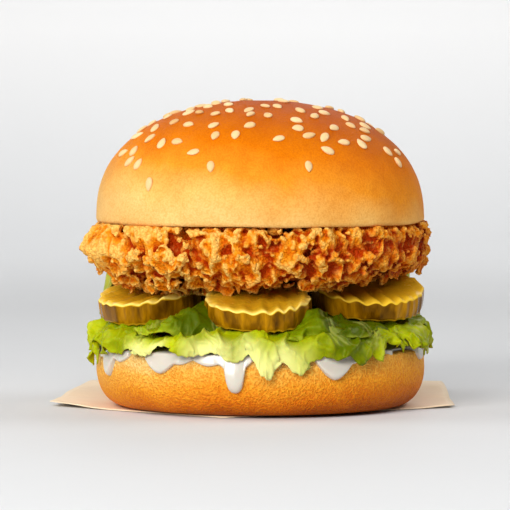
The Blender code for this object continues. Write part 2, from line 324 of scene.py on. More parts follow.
def taken_from(form):
    """The points and faces of a bmesh, which is then let go."""
    points = np.array([v.co[:] for v in form.verts])
    faces = [[v.index for v in face.verts] for face in form.faces]
    form.free()
    return points, faces


def joined(*parts):
    """Several (points, faces) as one."""
    points, faces, count = [], [], 0
    for part_points, part_faces in parts:
        faces += [[index + count for index in face] for face in part_faces]
        points.append(part_points)
        count += len(part_points)
    return np.concatenate(points), faces


def sheet_faces(rows, steps, closed):
    """Quads of a grid of rows by steps, joined end to end when closed."""
    faces = []
    for i in range(rows - 1):
        for j in range(steps if closed else steps - 1):
            k = (j + 1) % steps
            faces.append((i * steps + j, i * steps + k, (i + 1) * steps + k, (i + 1) * steps + j))
    return faces


def thickened(name, mesh, thick, offset=0.0):
    """A closed sheet of this thickness; offset 0 puts it round the surface and -1 under it."""
    piece = new_object(name, mesh)
    solid = piece.modifiers.new("thickness", "SOLIDIFY")
    solid.thickness = thick
    solid.offset = offset
    return piece


def finished(name, mesh, material, slot, *nodes):
    """The finished piece: shaded smooth, riding on the burger and standing for its CAD nodes."""
    mesh.shade_smooth()
    mesh.materials.clear()
    mesh.materials.append(material)
    piece = new_object(name, mesh)
    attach(piece, "root")
    if nodes:
        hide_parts(*nodes)
    return piece


# ---------------------------------------------------------------- shared finishes


def new_group(name, inputs, outputs):
    """A shader node group with number inputs, as (name, value), and number outputs."""
    group = bpy.data.node_groups.new(name, "ShaderNodeTree")
    for label, value in inputs:
        socket = group.interface.new_socket(label, in_out="INPUT", socket_type="NodeSocketFloat")
        socket.default_value = value
    for label in outputs:
        group.interface.new_socket(label, in_out="OUTPUT", socket_type="NodeSocketFloat")
    return group, group.nodes.new("NodeGroupInput"), group.nodes.new("NodeGroupOutput")


def feed(tree, socket, value):
    """Gives a node's socket its value: another node's output, or a constant."""
    if isinstance(value, bpy.types.NodeSocket):
        tree.links.new(value, socket)
    else:
        socket.default_value = value


def number(tree, operation, *values):
    """A Math node on two or three values or sockets; gives its output socket."""
    node = tree.nodes.new("ShaderNodeMath")
    node.operation = operation
    for socket, value in zip(node.inputs, values):
        feed(tree, socket, value)
    return node.outputs[0]


def plus(tree, first, second):
    return number(tree, "ADD", first, second)


def times(tree, first, second):
    return number(tree, "MULTIPLY", first, second)


def ranged(tree, value, **ends):
    """A value carried from one range to another; ends names the Map Range sockets that aren't 0 or 1."""
    node = tree.nodes.new("ShaderNodeMapRange")
    feed(tree, node.inputs["Value"], value)
    for label, end in ends.items():
        feed(tree, node.inputs[label.replace("_", " ")], end)
    return node.outputs["Result"]


def scattered(tree, scale, detail=2.0, roughness=0.5, stretch=(1.0, 1.0, 1.0), distort=0.0):
    """A Noise Texture over the object's own coordinates; scale may be a socket."""
    place = tree.nodes.new("ShaderNodeTexCoord")
    mapping = tree.nodes.new("ShaderNodeMapping")
    mapping.inputs["Scale"].default_value = stretch
    texture = tree.nodes.new("ShaderNodeTexNoise")
    texture.inputs["Detail"].default_value = detail
    texture.inputs["Roughness"].default_value = roughness
    texture.inputs["Distortion"].default_value = distort
    tree.links.new(place.outputs["Object"], mapping.inputs["Vector"])
    tree.links.new(mapping.outputs["Vector"], texture.inputs["Vector"])
    feed(tree, texture.inputs["Scale"], scale)
    return texture.outputs["Fac"]


def give_mask(group, given, result, value, gain):
    """Spreads a value about one half by the group's own contrast, and gives it out from 0 to 1."""
    spread = times(group, number(group, "SUBTRACT", value, 0.5), given.outputs["Contrast"])
    clamp = group.nodes.new("ShaderNodeClamp")
    feed(group, clamp.inputs["Value"], plus(group, times(group, spread, gain), 0.5))
    group.links.new(clamp.outputs["Result"], result.inputs["Mask"])


def make_mottle():
    """Blotches of two sizes, from 0 to 1, round one half."""
    group, given, result = new_group("mottle", (("Scale", 60.0), ("Contrast", 1.0)), ("Mask",))
    broad = scattered(group, given.outputs["Scale"], 3.0, 0.55)
    fine = scattered(group, times(group, given.outputs["Scale"], 4.3), 3.0, 0.6)
    both = plus(group, times(group, broad, 0.65), times(group, fine, 0.35))
    give_mask(group, given, result, both, 2.2)
    return group


def make_pores():
    """The fine grain of a baked or fried skin: a height and a mask of its pits."""
    group, given, result = new_group("pores", (("Grain", 900.0), ("Depth", 1.0)), ("Height", "Pits"))
    cells = group.nodes.new("ShaderNodeTexVoronoi")
    place = group.nodes.new("ShaderNodeTexCoord")
    group.links.new(place.outputs["Object"], cells.inputs["Vector"])
    group.links.new(given.outputs["Grain"], cells.inputs["Scale"])
    grit = scattered(group, times(group, given.outputs["Grain"], 0.7), 3.0, 0.65)
    dents = times(group, cells.outputs["Distance"], 0.6)
    mixed = plus(group, dents, times(group, grit, 0.9))
    height = times(group, mixed, given.outputs["Depth"])
    pits = ranged(group, mixed, From_Min=0.62, From_Max=0.95)
    group.links.new(height, result.inputs["Height"])
    group.links.new(pits, result.inputs["Pits"])
    return group


def make_streaks():
    """Fine upright streaks, from 0 to 1, as on a gherkin's skin or a seed's hull."""
    group, given, result = new_group("streaks", (("Scale", 300.0), ("Contrast", 1.0)), ("Mask",))
    lines = scattered(group, given.outputs["Scale"], 3.0, 0.6, (1.0, 1.0, 0.16), 0.4)
    give_mask(group, given, result, lines, 3.0)
    return group


def make_rise():
    """How high a point is between two heights, from 0 to 1, with an uneven border that leans towards +X."""
    settings = (("Low", 0.0), ("High", 0.1), ("Waver", 0.002), ("Lean", 0.0))
    group, given, result = new_group("rise", settings, ("Share",))
    place = group.nodes.new("ShaderNodeTexCoord")
    parts = group.nodes.new("ShaderNodeSeparateXYZ")
    group.links.new(place.outputs["Object"], parts.inputs["Vector"])
    sway = number(group, "SUBTRACT", scattered(group, 45.0, 3.0, 0.55), 0.5)
    across, up = parts.outputs["X"], parts.outputs["Z"]
    leaning = number(group, "MULTIPLY_ADD", across, given.outputs["Lean"], up)
    height = number(group, "MULTIPLY_ADD", sway, given.outputs["Waver"], leaning)
    share = ranged(group, height, From_Min=given.outputs["Low"], From_Max=given.outputs["High"])
    group.links.new(share, result.inputs["Share"])
    return group


MOTTLE, PORES, STREAKS, RISE = make_mottle(), make_pores(), make_streaks(), make_rise()


def use(tree, group, **values):
    """A shared group placed in a material, with this material's own values; gives its outputs."""
    node = tree.nodes.new("ShaderNodeGroup")
    node.node_tree = group
    for name, value in values.items():
        node.inputs[name].default_value = value
    return node.outputs


def new_material(name, **shine):
    """A material and its Principled shader. shine holds the shader's own constants."""
    material = bpy.data.materials.new(name)
    material.use_nodes = True
    shader = material.node_tree.nodes["Principled BSDF"]
    for label, value in shine.items():
        shader.inputs[label.replace("_", " ").title().replace("Ior", "IOR")].default_value = value
    return material, material.node_tree, shader


def ramp(tree, share, *stops):
    """Colours along a share from 0 to 1, given as (place, (red, green, blue))."""
    node = tree.nodes.new("ShaderNodeValToRGB")
    tree.links.new(share, node.inputs["Fac"])
    elements = node.color_ramp.elements
    for i, (place, colour) in enumerate(stops):
        stop = elements[i] if i < 2 else elements.new(place)
        stop.position = place
        stop.color = (*colour, 1.0)
    return node.outputs["Color"]


def blended(tree, share, first, second, way="MIX"):
    """Two colours mixed by a share; each may be a socket or (red, green, blue)."""
    node = tree.nodes.new("ShaderNodeMix")
    node.data_type = "RGBA"
    node.blend_type = way
    for label, value in (("Factor", share), ("A", first), ("B", second)):
        feed(tree, node.inputs[label], (*value, 1.0) if isinstance(value, tuple) else value)
    return node.outputs["Result"]


def tinted(tree, base, tint):
    return blended(tree, 1.0, base, tint, "MULTIPLY")


def attribute(tree, name):
    node = tree.nodes.new("ShaderNodeAttribute")
    node.attribute_name = name
    return node.outputs["Fac"]


def bumped(tree, shader, *layers):
    """Bump nodes in a row, each from (height socket, strength, distance)."""
    normal = None
    for height, strength, distance in layers:
        bump = tree.nodes.new("ShaderNodeBump")
        bump.inputs["Strength"].default_value = strength
        bump.inputs["Distance"].default_value = distance
        tree.links.new(height, bump.inputs["Height"])
        if normal:
            tree.links.new(normal, bump.inputs["Normal"])
        normal = bump.outputs["Normal"]
    tree.links.new(normal, shader.inputs["Normal"])


def surfaced(tree, shader, base, share=None, low=0.0, high=1.0):
    """The shader's colour, and a roughness that follows a share from low to high."""
    feed(tree, shader.inputs["Base Color"], base)
    if share is not None:
        feed(tree, shader.inputs["Roughness"], ranged(tree, share, To_Min=low, To_Max=high))


# ---------------------------------------------------------------- bun


CROWN_LOW, CROWN_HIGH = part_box("bun_crown")
CROWN_BASE, CROWN_TOP = CROWN_LOW[2], CROWN_HIGH[2]
BUN_RADIUS = (CROWN_HIGH[0] - CROWN_LOW[0] + CROWN_HIGH[1] - CROWN_LOW[1]) / 4
HEEL_LOW, HEEL_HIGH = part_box("bun_heel")
HEEL_BASE, HEEL_TOP = HEEL_LOW[2], HEEL_HIGH[2]


def golden_crust():
    """Crown: straw-pale at the cut edge, golden above it, and orange-brown on top; browner towards the
    right, which is painted shade.
    """
    material, tree, shader = new_material("golden_crust", specular_ior_level=0.04)
    # Lean tips the colour towards the browner top on the right side: painted shade, away from the key light
    # on the left.
    rise = use(tree, RISE, Low=CROWN_BASE, High=CROWN_TOP, Waver=0.014, Lean=0.16)
    baked = ramp(
        tree, rise["Share"],
        (0.0, (0.90, 0.60, 0.22)),
        (0.16, (0.91, 0.53, 0.15)),
        (0.41, (0.90, 0.34, 0.022)),
        (0.60, (0.80, 0.225, 0.001)),
        (1.0, (0.52, 0.105, 0.0005)),
    )
    blotch = use(tree, MOTTLE, Scale=70.0, Contrast=0.9)
    darker = tinted(tree, baked, (0.80, 0.66, 0.50))
    shown = blended(tree, blotch["Mask"], darker, baked)
    pores = use(tree, PORES, Grain=1700.0, Depth=1.0)
    freckled = tinted(tree, shown, (0.84, 0.66, 0.42))
    speckled = blended(tree, times(tree, pores["Pits"], 0.5), shown, freckled)
    surfaced(tree, shader, speckled, blotch["Mask"], 0.46, 0.56)
    bumped(tree, shader, (blotch["Mask"], 0.35, 0.0006), (pores["Height"], 0.45, 0.0004))
    return material


def heel_crust():
    """Heel: paler by the cut edge, browner at the foot, with the open grain of a pan-baked base; darker
    towards the right, which is painted shade.
    """
    material, tree, shader = new_material("heel_crust", specular_ior_level=0.1)
    # Lean tips the colour towards the darker foot on the right side: painted shade.
    rise = use(tree, RISE, Low=HEEL_BASE, High=HEEL_TOP, Waver=0.012, Lean=-0.06)
    baked = ramp(
        tree, rise["Share"],
        (0.0, (0.50, 0.11, 0.001)),
        (0.22, (0.80, 0.22, 0.004)),
        (0.50, (0.93, 0.36, 0.018)),
        (0.80, (0.95, 0.48, 0.070)),
        (1.0, (0.95, 0.62, 0.20)),
    )
    pores = use(tree, PORES, Grain=1500.0, Depth=1.0)
    blotch = use(tree, MOTTLE, Scale=90.0, Contrast=1.0)
    darker = tinted(tree, baked, (0.84, 0.62, 0.36))
    paler = tinted(tree, baked, (1.0, 1.10, 1.3))
    grained = blended(tree, pores["Pits"], darker, paler)
    shown = blended(tree, times(tree, blotch["Mask"], 0.3), grained, baked)
    surfaced(tree, shader, shown, pores["Pits"], 0.5, 0.62)
    bumped(tree, shader, (blotch["Mask"], 0.3, 0.0006), (pores["Height"], 0.9, 0.0008))
    return material


def crown_profile():
    """From the top of the dome, down its side, round the cut edge and in to the axis."""
    tall = CROWN_TOP - CROWN_BASE
    points = []
    for i in range(CROWN_RINGS + 1):
        turn = math.pi / 2 * (1 - i / CROWN_RINGS)
        radius = BUN_RADIUS * math.cos(turn) ** (2 / CROWN_POWER) if i else 0.0
        height = CROWN_TUCK + (tall - CROWN_TUCK) * math.sin(turn) ** (2 / CROWN_POWER)
        points.append((radius, CROWN_BASE + height))
    for i in range(1, CUT_RINGS + 1):
        turn = math.pi / 2 * i / CUT_RINGS
        inward = CROWN_CORNER * (1 - math.cos(turn))
        points.append((BUN_RADIUS - inward, CROWN_BASE + CROWN_TUCK * (1 - math.sin(turn))))
    points.append((0.8 * BUN_RADIUS, CROWN_BASE))
    points.append((0.4 * BUN_RADIUS, CROWN_BASE))
    points.append((0.0, CROWN_BASE))
    return points


def heel_side(drop):
    """(radius, height) on the heel's side, this far below its top edge; works on arrays."""
    height = (HEEL_TOP - HEEL_BASE) - drop
    lean = np.clip((height - HEEL_CORNER_TALL) / (HEEL_TOP - HEEL_BASE - HEEL_CORNER_TALL), 0.0, 1.0)
    upper = BUN_RADIUS - (BUN_RADIUS - HEEL_TOP_RADIUS) * lean ** 2
    rise = np.clip(1.0 - height / HEEL_CORNER_TALL, 0.0, 1.0)
    lower = HEEL_FOOT_RADIUS + (BUN_RADIUS - HEEL_FOOT_RADIUS) * np.sqrt(1.0 - rise ** 2)
    return np.where(height >= HEEL_CORNER_TALL, upper, lower), HEEL_BASE + height


def heel_profile():
    points = [(0.0, HEEL_TOP), (0.5 * BUN_RADIUS, HEEL_TOP), (HEEL_TOP_RADIUS - 1.0 * MM, HEEL_TOP)]
    points.append((HEEL_TOP_RADIUS - 0.3 * MM, HEEL_TOP - 0.2 * MM))
    for i in range(1, HEEL_RINGS):
        drop = (HEEL_TOP - HEEL_BASE) * (1.0 - (1.0 - i / HEEL_RINGS) ** 1.25)
        radius, height = heel_side(np.float64(drop))
        points.append((float(radius), float(height)))
    points.append((HEEL_FOOT_RADIUS, HEEL_BASE))
    points.append((0.5 * HEEL_FOOT_RADIUS, HEEL_BASE))
    points.append((0.0, HEEL_BASE))
    return points


def uneven(mesh, deep, size, keep_low, keep_high):
    """Dents a turned bun, except on its flat faces."""
    points, normals = points_of(mesh), normals_of(mesh)
    bearing = bearings_of(points)
    points[:, :2] *= bun_share(bearing)[:, None]
    above, below = points[:, 2] - keep_low, keep_high - points[:, 2]
    free = smooth_step(above / (2 * MM)) * smooth_step(below / (2 * MM))
    dents = noise_at(points, size, 3.1) + 0.35 * noise_at(points, size / 3.5, 7.7)
    set_points(mesh, points + normals * (deep * dents * free)[:, None])


def make_crown():
    mesh = turned(crown_profile(), BUN_STEPS)
    uneven(mesh, CROWN_DENTS, CROWN_DENT_SIZE, CROWN_BASE, CROWN_TOP + 10 * MM)
    points = points_of(mesh)
    bearing = bearings_of(points)
    near_cut = smooth_step(1.0 - (points[:, 2] - CROWN_BASE) / CUT_BAND)
    droop = wave(bearing, (3, 7, 13), (0.4, 2.0, 4.4), (1.0, 0.7, 0.4))
    points[:, 2] += CUT_DROOP * near_cut * (droop - 0.9)
    points[:, 2] = np.minimum(points[:, 2], CROWN_TOP)
    set_points(mesh, points)
    return finished("crown", mesh, golden_crust(), "bread", "bun_crown")


def make_heel():
    mesh = turned(heel_profile(), BUN_STEPS)
    uneven(mesh, HEEL_DENTS, HEEL_DENT_SIZE, HEEL_BASE + 0.2 * MM, HEEL_TOP - 0.2 * MM)
    return finished("heel", mesh, heel_crust(), "bread", "bun_heel")


# ---------------------------------------------------------------- seeds


def sesame():
    """Toasted cream hulls, each a little different in tone."""
    material, tree, shader = new_material("sesame", roughness=0.42, specular_ior_level=0.2)
    tone = attribute(tree, "tone")
    hull = ramp(tree, tone, (0.0, (0.66, 0.38, 0.13)), (0.5, (0.80, 0.54, 0.25)), (1.0, (0.90, 0.68, 0.37)))
    fine = use(tree, STREAKS, Scale=900.0, Contrast=0.6)
    shown = blended(tree, times(tree, fine["Mask"], 0.25), hull, (0.62, 0.36, 0.14))
    surfaced(tree, shader, shown)
    bumped(tree, shader, (fine["Mask"], 0.25, 0.0002))
    return material


def seed_form():
    """One seed lying flat: a drop, pointed towards +X."""
    form = bmesh.new()
    bmesh.ops.create_uvsphere(form, u_segments=14, v_segments=9, radius=1.0)
    points, faces = taken_from(form)
    along = points[:, 0]
    taper = 1.0 - 0.42 * np.clip(along, -0.2, 1.0) ** 3 - 0.10 * along
    points[:, 0] = SEED_LONG / 2 * (along + 0.10 * np.clip(along, 0, 1) ** 3)
    points[:, 1] *= SEED_WIDE / 2 * taper
    points[:, 2] *= SEED_THICK / 2 * (1.0 - 0.25 * np.clip(along, 0, 1))
    return points, faces


def seed_spots(rng):
    """Bearing, height share, turn and distance to keep: the lone seeds, then a crowd on the top."""
    for bearing, share, turn in LONE_SEEDS:
        yield math.radians(bearing), share, math.radians(turn), 0.0
    for _ in range(SEED_COUNT * SEED_TRIES):
        share = 1.0 - SEED_CROWD_DEPTH * rng.random() ** 1.1
        bearing, turn = rng.uniform(0, math.tau), rng.uniform(0, math.tau)
        yield bearing, share, turn, SEED_APART * (1.0 + 0.5 * rng.random())


def make_seeds(crown):
    rng = np.random.default_rng(11)
    tree = ray_tree(crown.data)
    form, faces = seed_form()
    middle = Vector((0.0, 0.0, CROWN_BASE))
    tall = CROWN_TOP - CROWN_BASE
    placed, seeds, tones = [], [], []
    for bearing, share, angle, apart in seed_spots(rng):
        across = (1.0 - share ** CROWN_POWER) ** (1 / CROWN_POWER)
        reach = BUN_RADIUS * across
        aim = Vector((reach * math.cos(bearing), reach * math.sin(bearing), tall * share))
        spot, normal, _, _ = tree.ray_cast(middle + aim * 1.5, -aim)
        if any((spot - other).length < apart for other in placed):
            continue
        placed.append(spot)
        turn = standing_on(normal) @ Matrix.Rotation(angle, 3, "Z")
        rock = Matrix.Rotation(rng.normal(0, 0.10), 3, "X")
        turn = turn @ rock @ Matrix.Rotation(rng.normal(0, 0.08), 3, "Y")
        size = rng.normal(1.0, (0.06, 0.07, 0.1))
        body = (form * size) @ np.array(turn).T + np.array(spot + normal * SEED_STANDS)
        seeds.append((body, faces))
        tones.append(np.full(len(form), np.clip(rng.normal(0.6, 0.22), 0, 1)))
        if len(seeds) == SEED_COUNT:
            break
    mesh = mesh_from("sesame_seeds", *joined(*seeds))
    paint(mesh, "tone", np.concatenate(tones))
    return finished("sesame_seeds", mesh, sesame(), "bread")


# ---------------------------------------------------------------- fried fillet


FILLET_LOW, FILLET_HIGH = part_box("chicken_fillet")
FILLET_BASE, FILLET_TOP = FILLET_LOW[2], FILLET_HIGH[2]


def fried_crust():
    """Crust: amber on its faces; deep brown in its hollows and under its flakes, which is painted shade;
    golden on its knobs and along the flakes' edges, which is painted highlight; darker towards the right,
    which is painted shade, and browner in random patches.
    """
    material, tree, shader = new_material("fried_crust", specular_ior_level=0.04)
    blotch = use(tree, MOTTLE, Scale=95.0, Contrast=1.2)
    sway = number(tree, "MULTIPLY_ADD", blotch["Mask"], 0.36, -0.18)
    # Painted shade: the share of sky that the crust itself hides darkens its colour.
    open_air = number(tree, "MULTIPLY_ADD", attribute(tree, "shelter"), -0.70, 0.22)
    # Painted highlight and shade: broad knobs are paler and broad hollows darker.
    relief = number(tree, "MULTIPLY_ADD", attribute(tree, "relief"), 1.05, -0.15)
    lit = plus(tree, plus(tree, relief, open_air), sway)
    # This attribute darkens the crust: painted shade towards the right, and random browner patches.
    depth = number(tree, "SUBTRACT", lit, attribute(tree, "browned"))
    fried = ramp(
        tree, depth,
        (0.0, (0.44, 0.040, 0.0004)),
        (0.22, (0.61, 0.120, 0.0008)),
        (0.46, (0.76, 0.205, 0.0015)),
        (0.72, (0.88, 0.33, 0.012)),
        (1.0, (0.95, 0.55, 0.125)),
    )
    # Painted highlight: the crust's finest ridges are turned golden.
    edge = times(tree, attribute(tree, "proud"), 0.28)
    edged = blended(tree, edge, fried, (0.96, 0.60, 0.15))
    pores = use(tree, PORES, Grain=1150.0, Depth=1.0)
    singed = tinted(tree, edged, (0.82, 0.52, 0.26))
    shown = blended(tree, times(tree, pores["Pits"], 0.75), edged, singed)
    surfaced(tree, shader, shown, depth, 0.36, 0.55)
    bumped(tree, shader, (blotch["Mask"], 0.4, 0.0006), (pores["Height"], 1.0, 0.0009))
    return material


def fillet_rim(turn):
    """(share of the radius, height) round the fillet's rim, from its top (90 degrees) to its underside."""
    power = np.where(turn > 0, 7.0, 2.5)
    half = np.where(turn > 0, FILLET_TOP - FILLET_WAIST, FILLET_WAIST - FILLET_BASE)
    lift = np.sign(turn) * np.abs(np.sin(turn)) ** (2 / power)
    return np.cos(turn) ** (2 / power), FILLET_WAIST + half * lift


def fillet_lean(bearing, height):
    """The fillet is cut long on the left, bulges at its waist there, and is never quite round."""
    waist = np.exp(-((height - FILLET_WAIST + 1 * MM) / (4.5 * MM)) ** 2)
    left = 1.2 * MM * smooth_step(-np.cos(bearing)) + 4.8 * MM * waist * near(bearing, 186.0, 34.0)
    return left + 0.8 * MM * np.cos(3 * bearing + 1.0) + 0.6 * MM * np.cos(5 * bearing)


def sag(bearing, height):
    """How far the coating hangs down below the waist, most of all at the front left."""
    below = smooth_step((FILLET_WAIST - 3 * MM - height) / (8 * MM))
    return below * MM * rises(bearing, *SAGS)


def knobs(points, size, fill, offset):
    """Rounded knobs packed side by side, from 0 to 1; fill is how much of its cell each one takes."""
    return 1.0 - np.clip(cells_at(points, size, offset) / fill, 0, 1) ** 2


def swirled(points, size, reach, offset):
    """The points pushed about by soft noise, so that what is laid over them runs unevenly."""
    push = np.stack([noise_at(points, size, offset + 5.0 * k) for k in range(3)], axis=-1)
    return points + reach * push


def fillet_core():
    """The meat under its coating, knobbly all round its rim."""
    turns = np.linspace(math.pi / 2, -math.pi / 2, FILLET_RINGS)[1:-1]
    shares, heights = fillet_rim(turns)
    profile = [(0.0, FILLET_TOP - 0.4 * MM), (0.5 * FILLET_CORE, FILLET_TOP - 0.4 * MM)]
    profile += [(FILLET_CORE * float(s), float(h)) for s, h in zip(shares, heights)]
    profile += [(0.4 * FILLET_CORE, FILLET_BASE + 3.4 * MM), (0.0, FILLET_BASE + 4.0 * MM)]
    mesh = turned(profile, FILLET_STEPS)
    points, normals = points_of(mesh), normals_of(mesh)
    radius = np.hypot(points[:, 0], points[:, 1])
    bearing = bearings_of(points)
    rim = smooth_step((radius / FILLET_CORE - 0.72) / 0.16)
    flow = swirled(points * np.array([1.0, 1.0, 0.75]), 8 * MM, 2.2 * MM, 2.0)
    swell = noise_at(points, 14 * MM, 8.0)
    patchy = 0.75 + 0.5 * noise_at(points, 9 * MM, 12.0)
    folds = 1.0 - np.abs(noise_at(flow * np.array([1.0, 1.0, 0.65]), 5 * MM, 3.0))
    hollow = np.clip(0.34 - cells_at(flow, 12 * MM, 9.0), 0, 1) / 0.34
    push = 3.0 * swell - 4.0 * hollow + 3.2 * patchy * knobs(flow, 8.5 * MM, 0.8, 5.0) + 1.9 * folds ** 6
    push = push + 1.4 * knobs(flow, 3.9 * MM, 0.75, 6.0) + 0.6 * knobs(flow, 2.0 * MM, 0.75, 7.0) - 2.6
    points += normals * (rim * push * MM)[:, None]
    lean = fillet_lean(bearing, points[:, 2])
    points[:, :2] += (rim * lean / np.maximum(radius, MM))[:, None] * points[:, :2]
    points[:, 2] -= rim * sag(bearing, points[:, 2])
    set_points(mesh, points)
    return points, [list(p.vertices) for p in mesh.polygons]


def flake_faces():
    """Faces of a two-sided flake: front and back are rings round a middle point, and meet at the edge."""
    side = 1 + FLAKE_RINGS * FLAKE_SPOKES
    faces = []
    for back in (False, True):
        base = side if back else 0
        for j in range(FLAKE_SPOKES):
            k = (j + 1) % FLAKE_SPOKES
            ring = [(base, base + 1 + j, base + 1 + k)]
            for i in range(FLAKE_RINGS - 1):
                a, b = base + 1 + i * FLAKE_SPOKES, base + 1 + (i + 1) * FLAKE_SPOKES
                ring.append((a + j, b + j, b + k, a + k))
            faces += [face[::-1] if back else face for face in ring]
    last = 1 + (FLAKE_RINGS - 1) * FLAKE_SPOKES
    for j in range(FLAKE_SPOKES):
        k = (j + 1) % FLAKE_SPOKES
        faces.append((last + j, side + last + j, side + last + k, last + k))
    return faces


def flake_points(rng, long, wide, thick):
    """A crisp scalloped flake lying in XY, hanging towards -Y, curled and cupped towards +Z."""
    spoke = np.linspace(0, math.tau, FLAKE_SPOKES, endpoint=False)
    lobes = sum(
        rng.normal(0, weight) * np.sin(count * spoke + rng.uniform(0, math.tau))
        for count, weight in ((2, 0.1), (3, 0.09), (5, 0.07))
    )
    lobes = lobes + 0.06 * np.sin(rng.integers(7, 10) * spoke + rng.uniform(0, math.tau))
    share = np.linspace(0, 1, FLAKE_RINGS + 1)[1:, None]
    across = wide / 2 * share * (np.cos(spoke) * (1 + lobes))
    along = long / 2 * share * (np.sin(spoke) * (1 + lobes))
    cup = rng.uniform(-0.2, 0.5) * wide * (across / wide) ** 2 * 2
    curl = rng.uniform(-0.2, 0.7) * long * np.clip(-along / long, 0, 1) ** 2 * 2
    frill = 0.07 * wide * share ** 3 * np.sin(rng.integers(3, 6) * spoke + rng.uniform(0, math.tau))
    flat = np.stack([across, along, cup + curl + frill], axis=-1).reshape(-1, 3)
    flat = np.concatenate([[[0.0, 0.0, 0.0]], flat])
    flat = swirled(flat, 3.2 * MM, 0.16 * long, rng.uniform(0, 90))
    half = thick / 2 * np.array([0.0, 0.0, 1.0])
    return np.concatenate([flat + half, flat - half])


def crust_spot(bearing, turn):
    """A place on the rim and its outward direction."""
    share, height = fillet_rim(np.float64(turn))
    radius = FILLET_CORE * share + fillet_lean(bearing, height)
    height = height - sag(np.float64(bearing), height)
    spot = Vector((radius * math.cos(bearing), radius * math.sin(bearing), height))
    level = math.cos(turn)
    out = Vector((math.cos(bearing) * level, math.sin(bearing) * level, 0.8 * math.sin(turn)))
    return spot, out.normalized()


def crust_flakes(rng, count, turn_range, sizes, tilt_range, depth_range):
    """Flakes set round the rim like shingles, their free edges hanging down and out."""
    faces, flakes = flake_faces(), []
    for _ in range(count):
        spot, out = crust_spot(rng.uniform(0, math.tau), rng.uniform(*turn_range))
        long = rng.uniform(*sizes) * MM
        wide = long * rng.uniform(0.6, 1.1)
        body = flake_points(rng, long, wide, rng.uniform(0.8, 1.3) * MM)
        body += np.array([0.0, -0.30 * long, 0.0])
        spin = Matrix.Rotation(rng.normal(0, 0.55), 3, "Z")
        yaw = Matrix.Rotation(rng.normal(0, 0.35), 3, "Y")
        lean = Matrix.Rotation(rng.uniform(*tilt_range), 3, "X")
        turn = np.array(standing_on(out) @ spin @ yaw @ lean)
        body = body @ turn.T + np.array(spot + out * rng.uniform(*depth_range) * MM)
        flakes.append((body, faces))
    return joined(*flakes)


def crust_crumbs(rng, count):
    """Crumbs of batter: each a lump with smaller lumps stuck round it."""
    form = bmesh.new()
    bmesh.ops.create_icosphere(form, subdivisions=2, radius=1.0)
    ball, faces = taken_from(form)
    lumps = []
    for _ in range(count):
        spot, out = crust_spot(rng.uniform(0, math.tau), rng.uniform(-1.3, 1.2))
        middle = np.array(spot + out * rng.uniform(0.0, 1.5) * MM)
        size = (0.7 + 1.3 * rng.random() ** 2) * MM
        for lump in range(rng.integers(4, 9)):
            small = size * (1.0 if lump == 0 else rng.uniform(0.3, 0.6))
            away = rng.normal(0, 1, 3)
            away *= (lump > 0) * size * 0.95 / np.linalg.norm(away)
            body = ball * rng.uniform(0.7, 1.1, 3) * small + middle + away
            lumps.append((body, faces))
    return joined(*lumps)


def relaxed(points, edges, rounds):
    """The points after each has moved to the middle of its neighbours this many times."""
    count = len(points)
    first, second = edges[:, 0], edges[:, 1]
    share = np.bincount(first, minlength=count) + np.bincount(second, minlength=count)
    moved = points.copy()
    for _ in range(rounds):
        total = np.empty_like(moved)
        for axis in range(3):
            ahead = np.bincount(first, moved[second, axis], count)
            total[:, axis] = ahead + np.bincount(second, moved[first, axis], count)
        moved = 0.5 * moved + 0.5 * total / np.maximum(share, 1)[:, None]
    return moved


def edges_of(mesh):
    flat = np.empty(2 * len(mesh.edges), dtype=np.int64)
    mesh.edges.foreach_get("vertices", flat)
    return flat.reshape(-1, 2)


def shelter(mesh, reach, rays, seed):
    """How much of the sky over each point the crust itself hides within this reach, from 0 to 1; the crust's
    colour uses it as painted shade.
    """
    rng = np.random.default_rng(seed)
    tree = ray_tree(mesh)
    fan = rng.normal(0, 1, (rays, 3))
    fan /= np.linalg.norm(fan, axis=1)[:, None]
    hidden = np.zeros(len(mesh.vertices))
    for index, (place, normal) in enumerate(zip(points_of(mesh), normals_of(mesh))):
        start = Vector(place + normal * 0.1 * MM)
        for ray in fan + 1.1 * normal:
            if tree.ray_cast(start, Vector(ray), reach)[0] is not None:
                hidden[index] += 1.0 / rays
    return hidden


